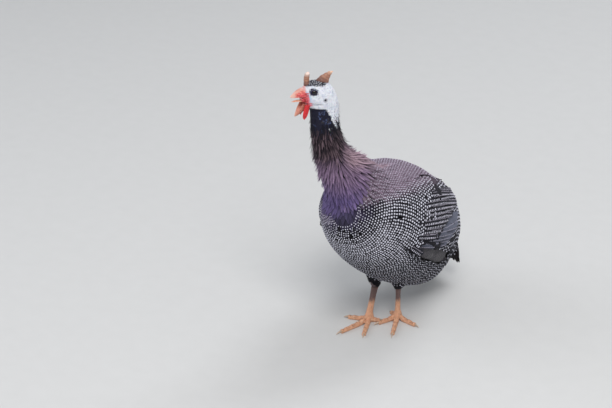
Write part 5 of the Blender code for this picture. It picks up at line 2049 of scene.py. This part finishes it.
@dataclass(frozen=True)
class Camera:
    """The photograph's viewing angle and framing, with a long lens and no shift."""

    azimuth: float = math.radians(30.0)
    pitch: float = math.radians(26.03)
    yaw: float = math.radians(-2.768)
    away: float = 2.65
    height: float = 1.5
    sensor: float = 36.0
    focal_pixels: float = 1827.0
    frame_pixels: float = 612.0

    def build(self) -> None:
        """Sets the camera up as the scene's own."""
        toward = Vector((math.sin(self.azimuth), -math.cos(self.azimuth), 0.0))
        right = Vector((math.cos(self.azimuth), math.sin(self.azimuth), 0.0))
        level = -toward * math.cos(self.yaw) + right * math.sin(self.yaw)
        look = level * math.cos(self.pitch) - UP * math.sin(self.pitch)
        lens = bpy.data.cameras.new("camera")
        lens.sensor_width = self.sensor
        lens.lens = self.focal_pixels / self.frame_pixels * self.sensor
        camera = bpy.data.objects.new("camera", lens)
        camera.location = toward * self.away + UP * self.height + BODY.shift
        camera.rotation_euler = look.to_track_quat("-Z", "Y").to_euler()
        bpy.context.scene.collection.objects.link(camera)
        bpy.context.scene.camera = camera


@dataclass(frozen=True)
class Lamp:
    """A wide soft lamp that points at the bird."""

    name: str
    place: tuple[float, float, float]
    size: float
    power: float
    colour: Colour
    target: tuple[float, float, float] = (0.0, 0.0, 0.22)

    def build(self) -> None:
        """Hangs the lamp."""
        lamp = bpy.data.lights.new(self.name, "AREA")
        lamp.shape = "DISK"
        lamp.size = self.size
        lamp.energy = self.power
        lamp.color = self.colour
        made = bpy.data.objects.new(self.name, lamp)
        made.location = self.place
        aim = Vector(self.target) - Vector(self.place)
        made.rotation_euler = aim.to_track_quat("-Z", "Y").to_euler()
        bpy.context.scene.collection.objects.link(made)


@dataclass(frozen=True)
class Studio:
    """A pale floor, a pale sky all round and three wide soft lamps."""

    sky: tuple[float, float, float, float] = (0.93, 0.96, 1.0, 1.0)
    sky_strength: float = 0.41
    floor_half: float = 7.0
    lamps: tuple[Lamp, ...] = (
        Lamp("key", (1.4, -1.9, 3.0), 1.8, 90.0, (1.0, 0.985, 0.96)),
        Lamp("fill", (-2.4, -1.4, 1.8), 2.2, 22.0, (0.93, 0.96, 1.0)),
        Lamp("back", (0.4, 2.2, 2.8), 1.8, 38.0, (0.96, 0.98, 1.0)),
    )

    def build(self) -> None:
        """Sets up the light and the floor."""
        scene = bpy.context.scene
        scene.view_settings.view_transform = "Standard"
        world = bpy.data.worlds.new("studio")
        world.use_nodes = True
        background = world.node_tree.nodes["Background"]
        background.inputs["Color"].default_value = self.sky
        background.inputs["Strength"].default_value = self.sky_strength
        scene.world = world
        for lamp in self.lamps:
            lamp.build()
        half = self.floor_half
        corners = [(-half, -half, 0.0), (half, -half, 0.0), (half, half, 0.0), (-half, half, 0.0)]
        floor = new_piece("floor", corners, [(0, 1, 2, 3)])
        floor.data.materials.append(FloorFinish().build())


def main() -> None:
    """Builds the bird piece by piece, and reports each one."""
    logging.basicConfig(level=logging.INFO, format="%(message)s", stream=sys.stdout)
    Camera().build()
    Studio().build()
    skin = Skin()
    face = FaceFinish().build()
    skin.build(DownFinish().build(), face)
    plumage = Plumage(skin, PlumageFinish().build())
    plumage.body()
    plumage.neck()
    plumage.thighs()
    wings = Wings(plumage)
    wings.build()
    tail = Tail(plumage)
    tail.build()
    pearls = Pearls(plumage, PearlFinish().build())
    fields = {**pearls.lattice(), "pearls_wings": wings.spots, "pearls_tail": tail.spots}
    for name, spots in fields.items():
        pearls.build(name, spots)
    head = Head(skin)
    head.build(face)
    head.feathers(plumage.material)
    Legs().build()


if __name__ == "__main__":
    main()
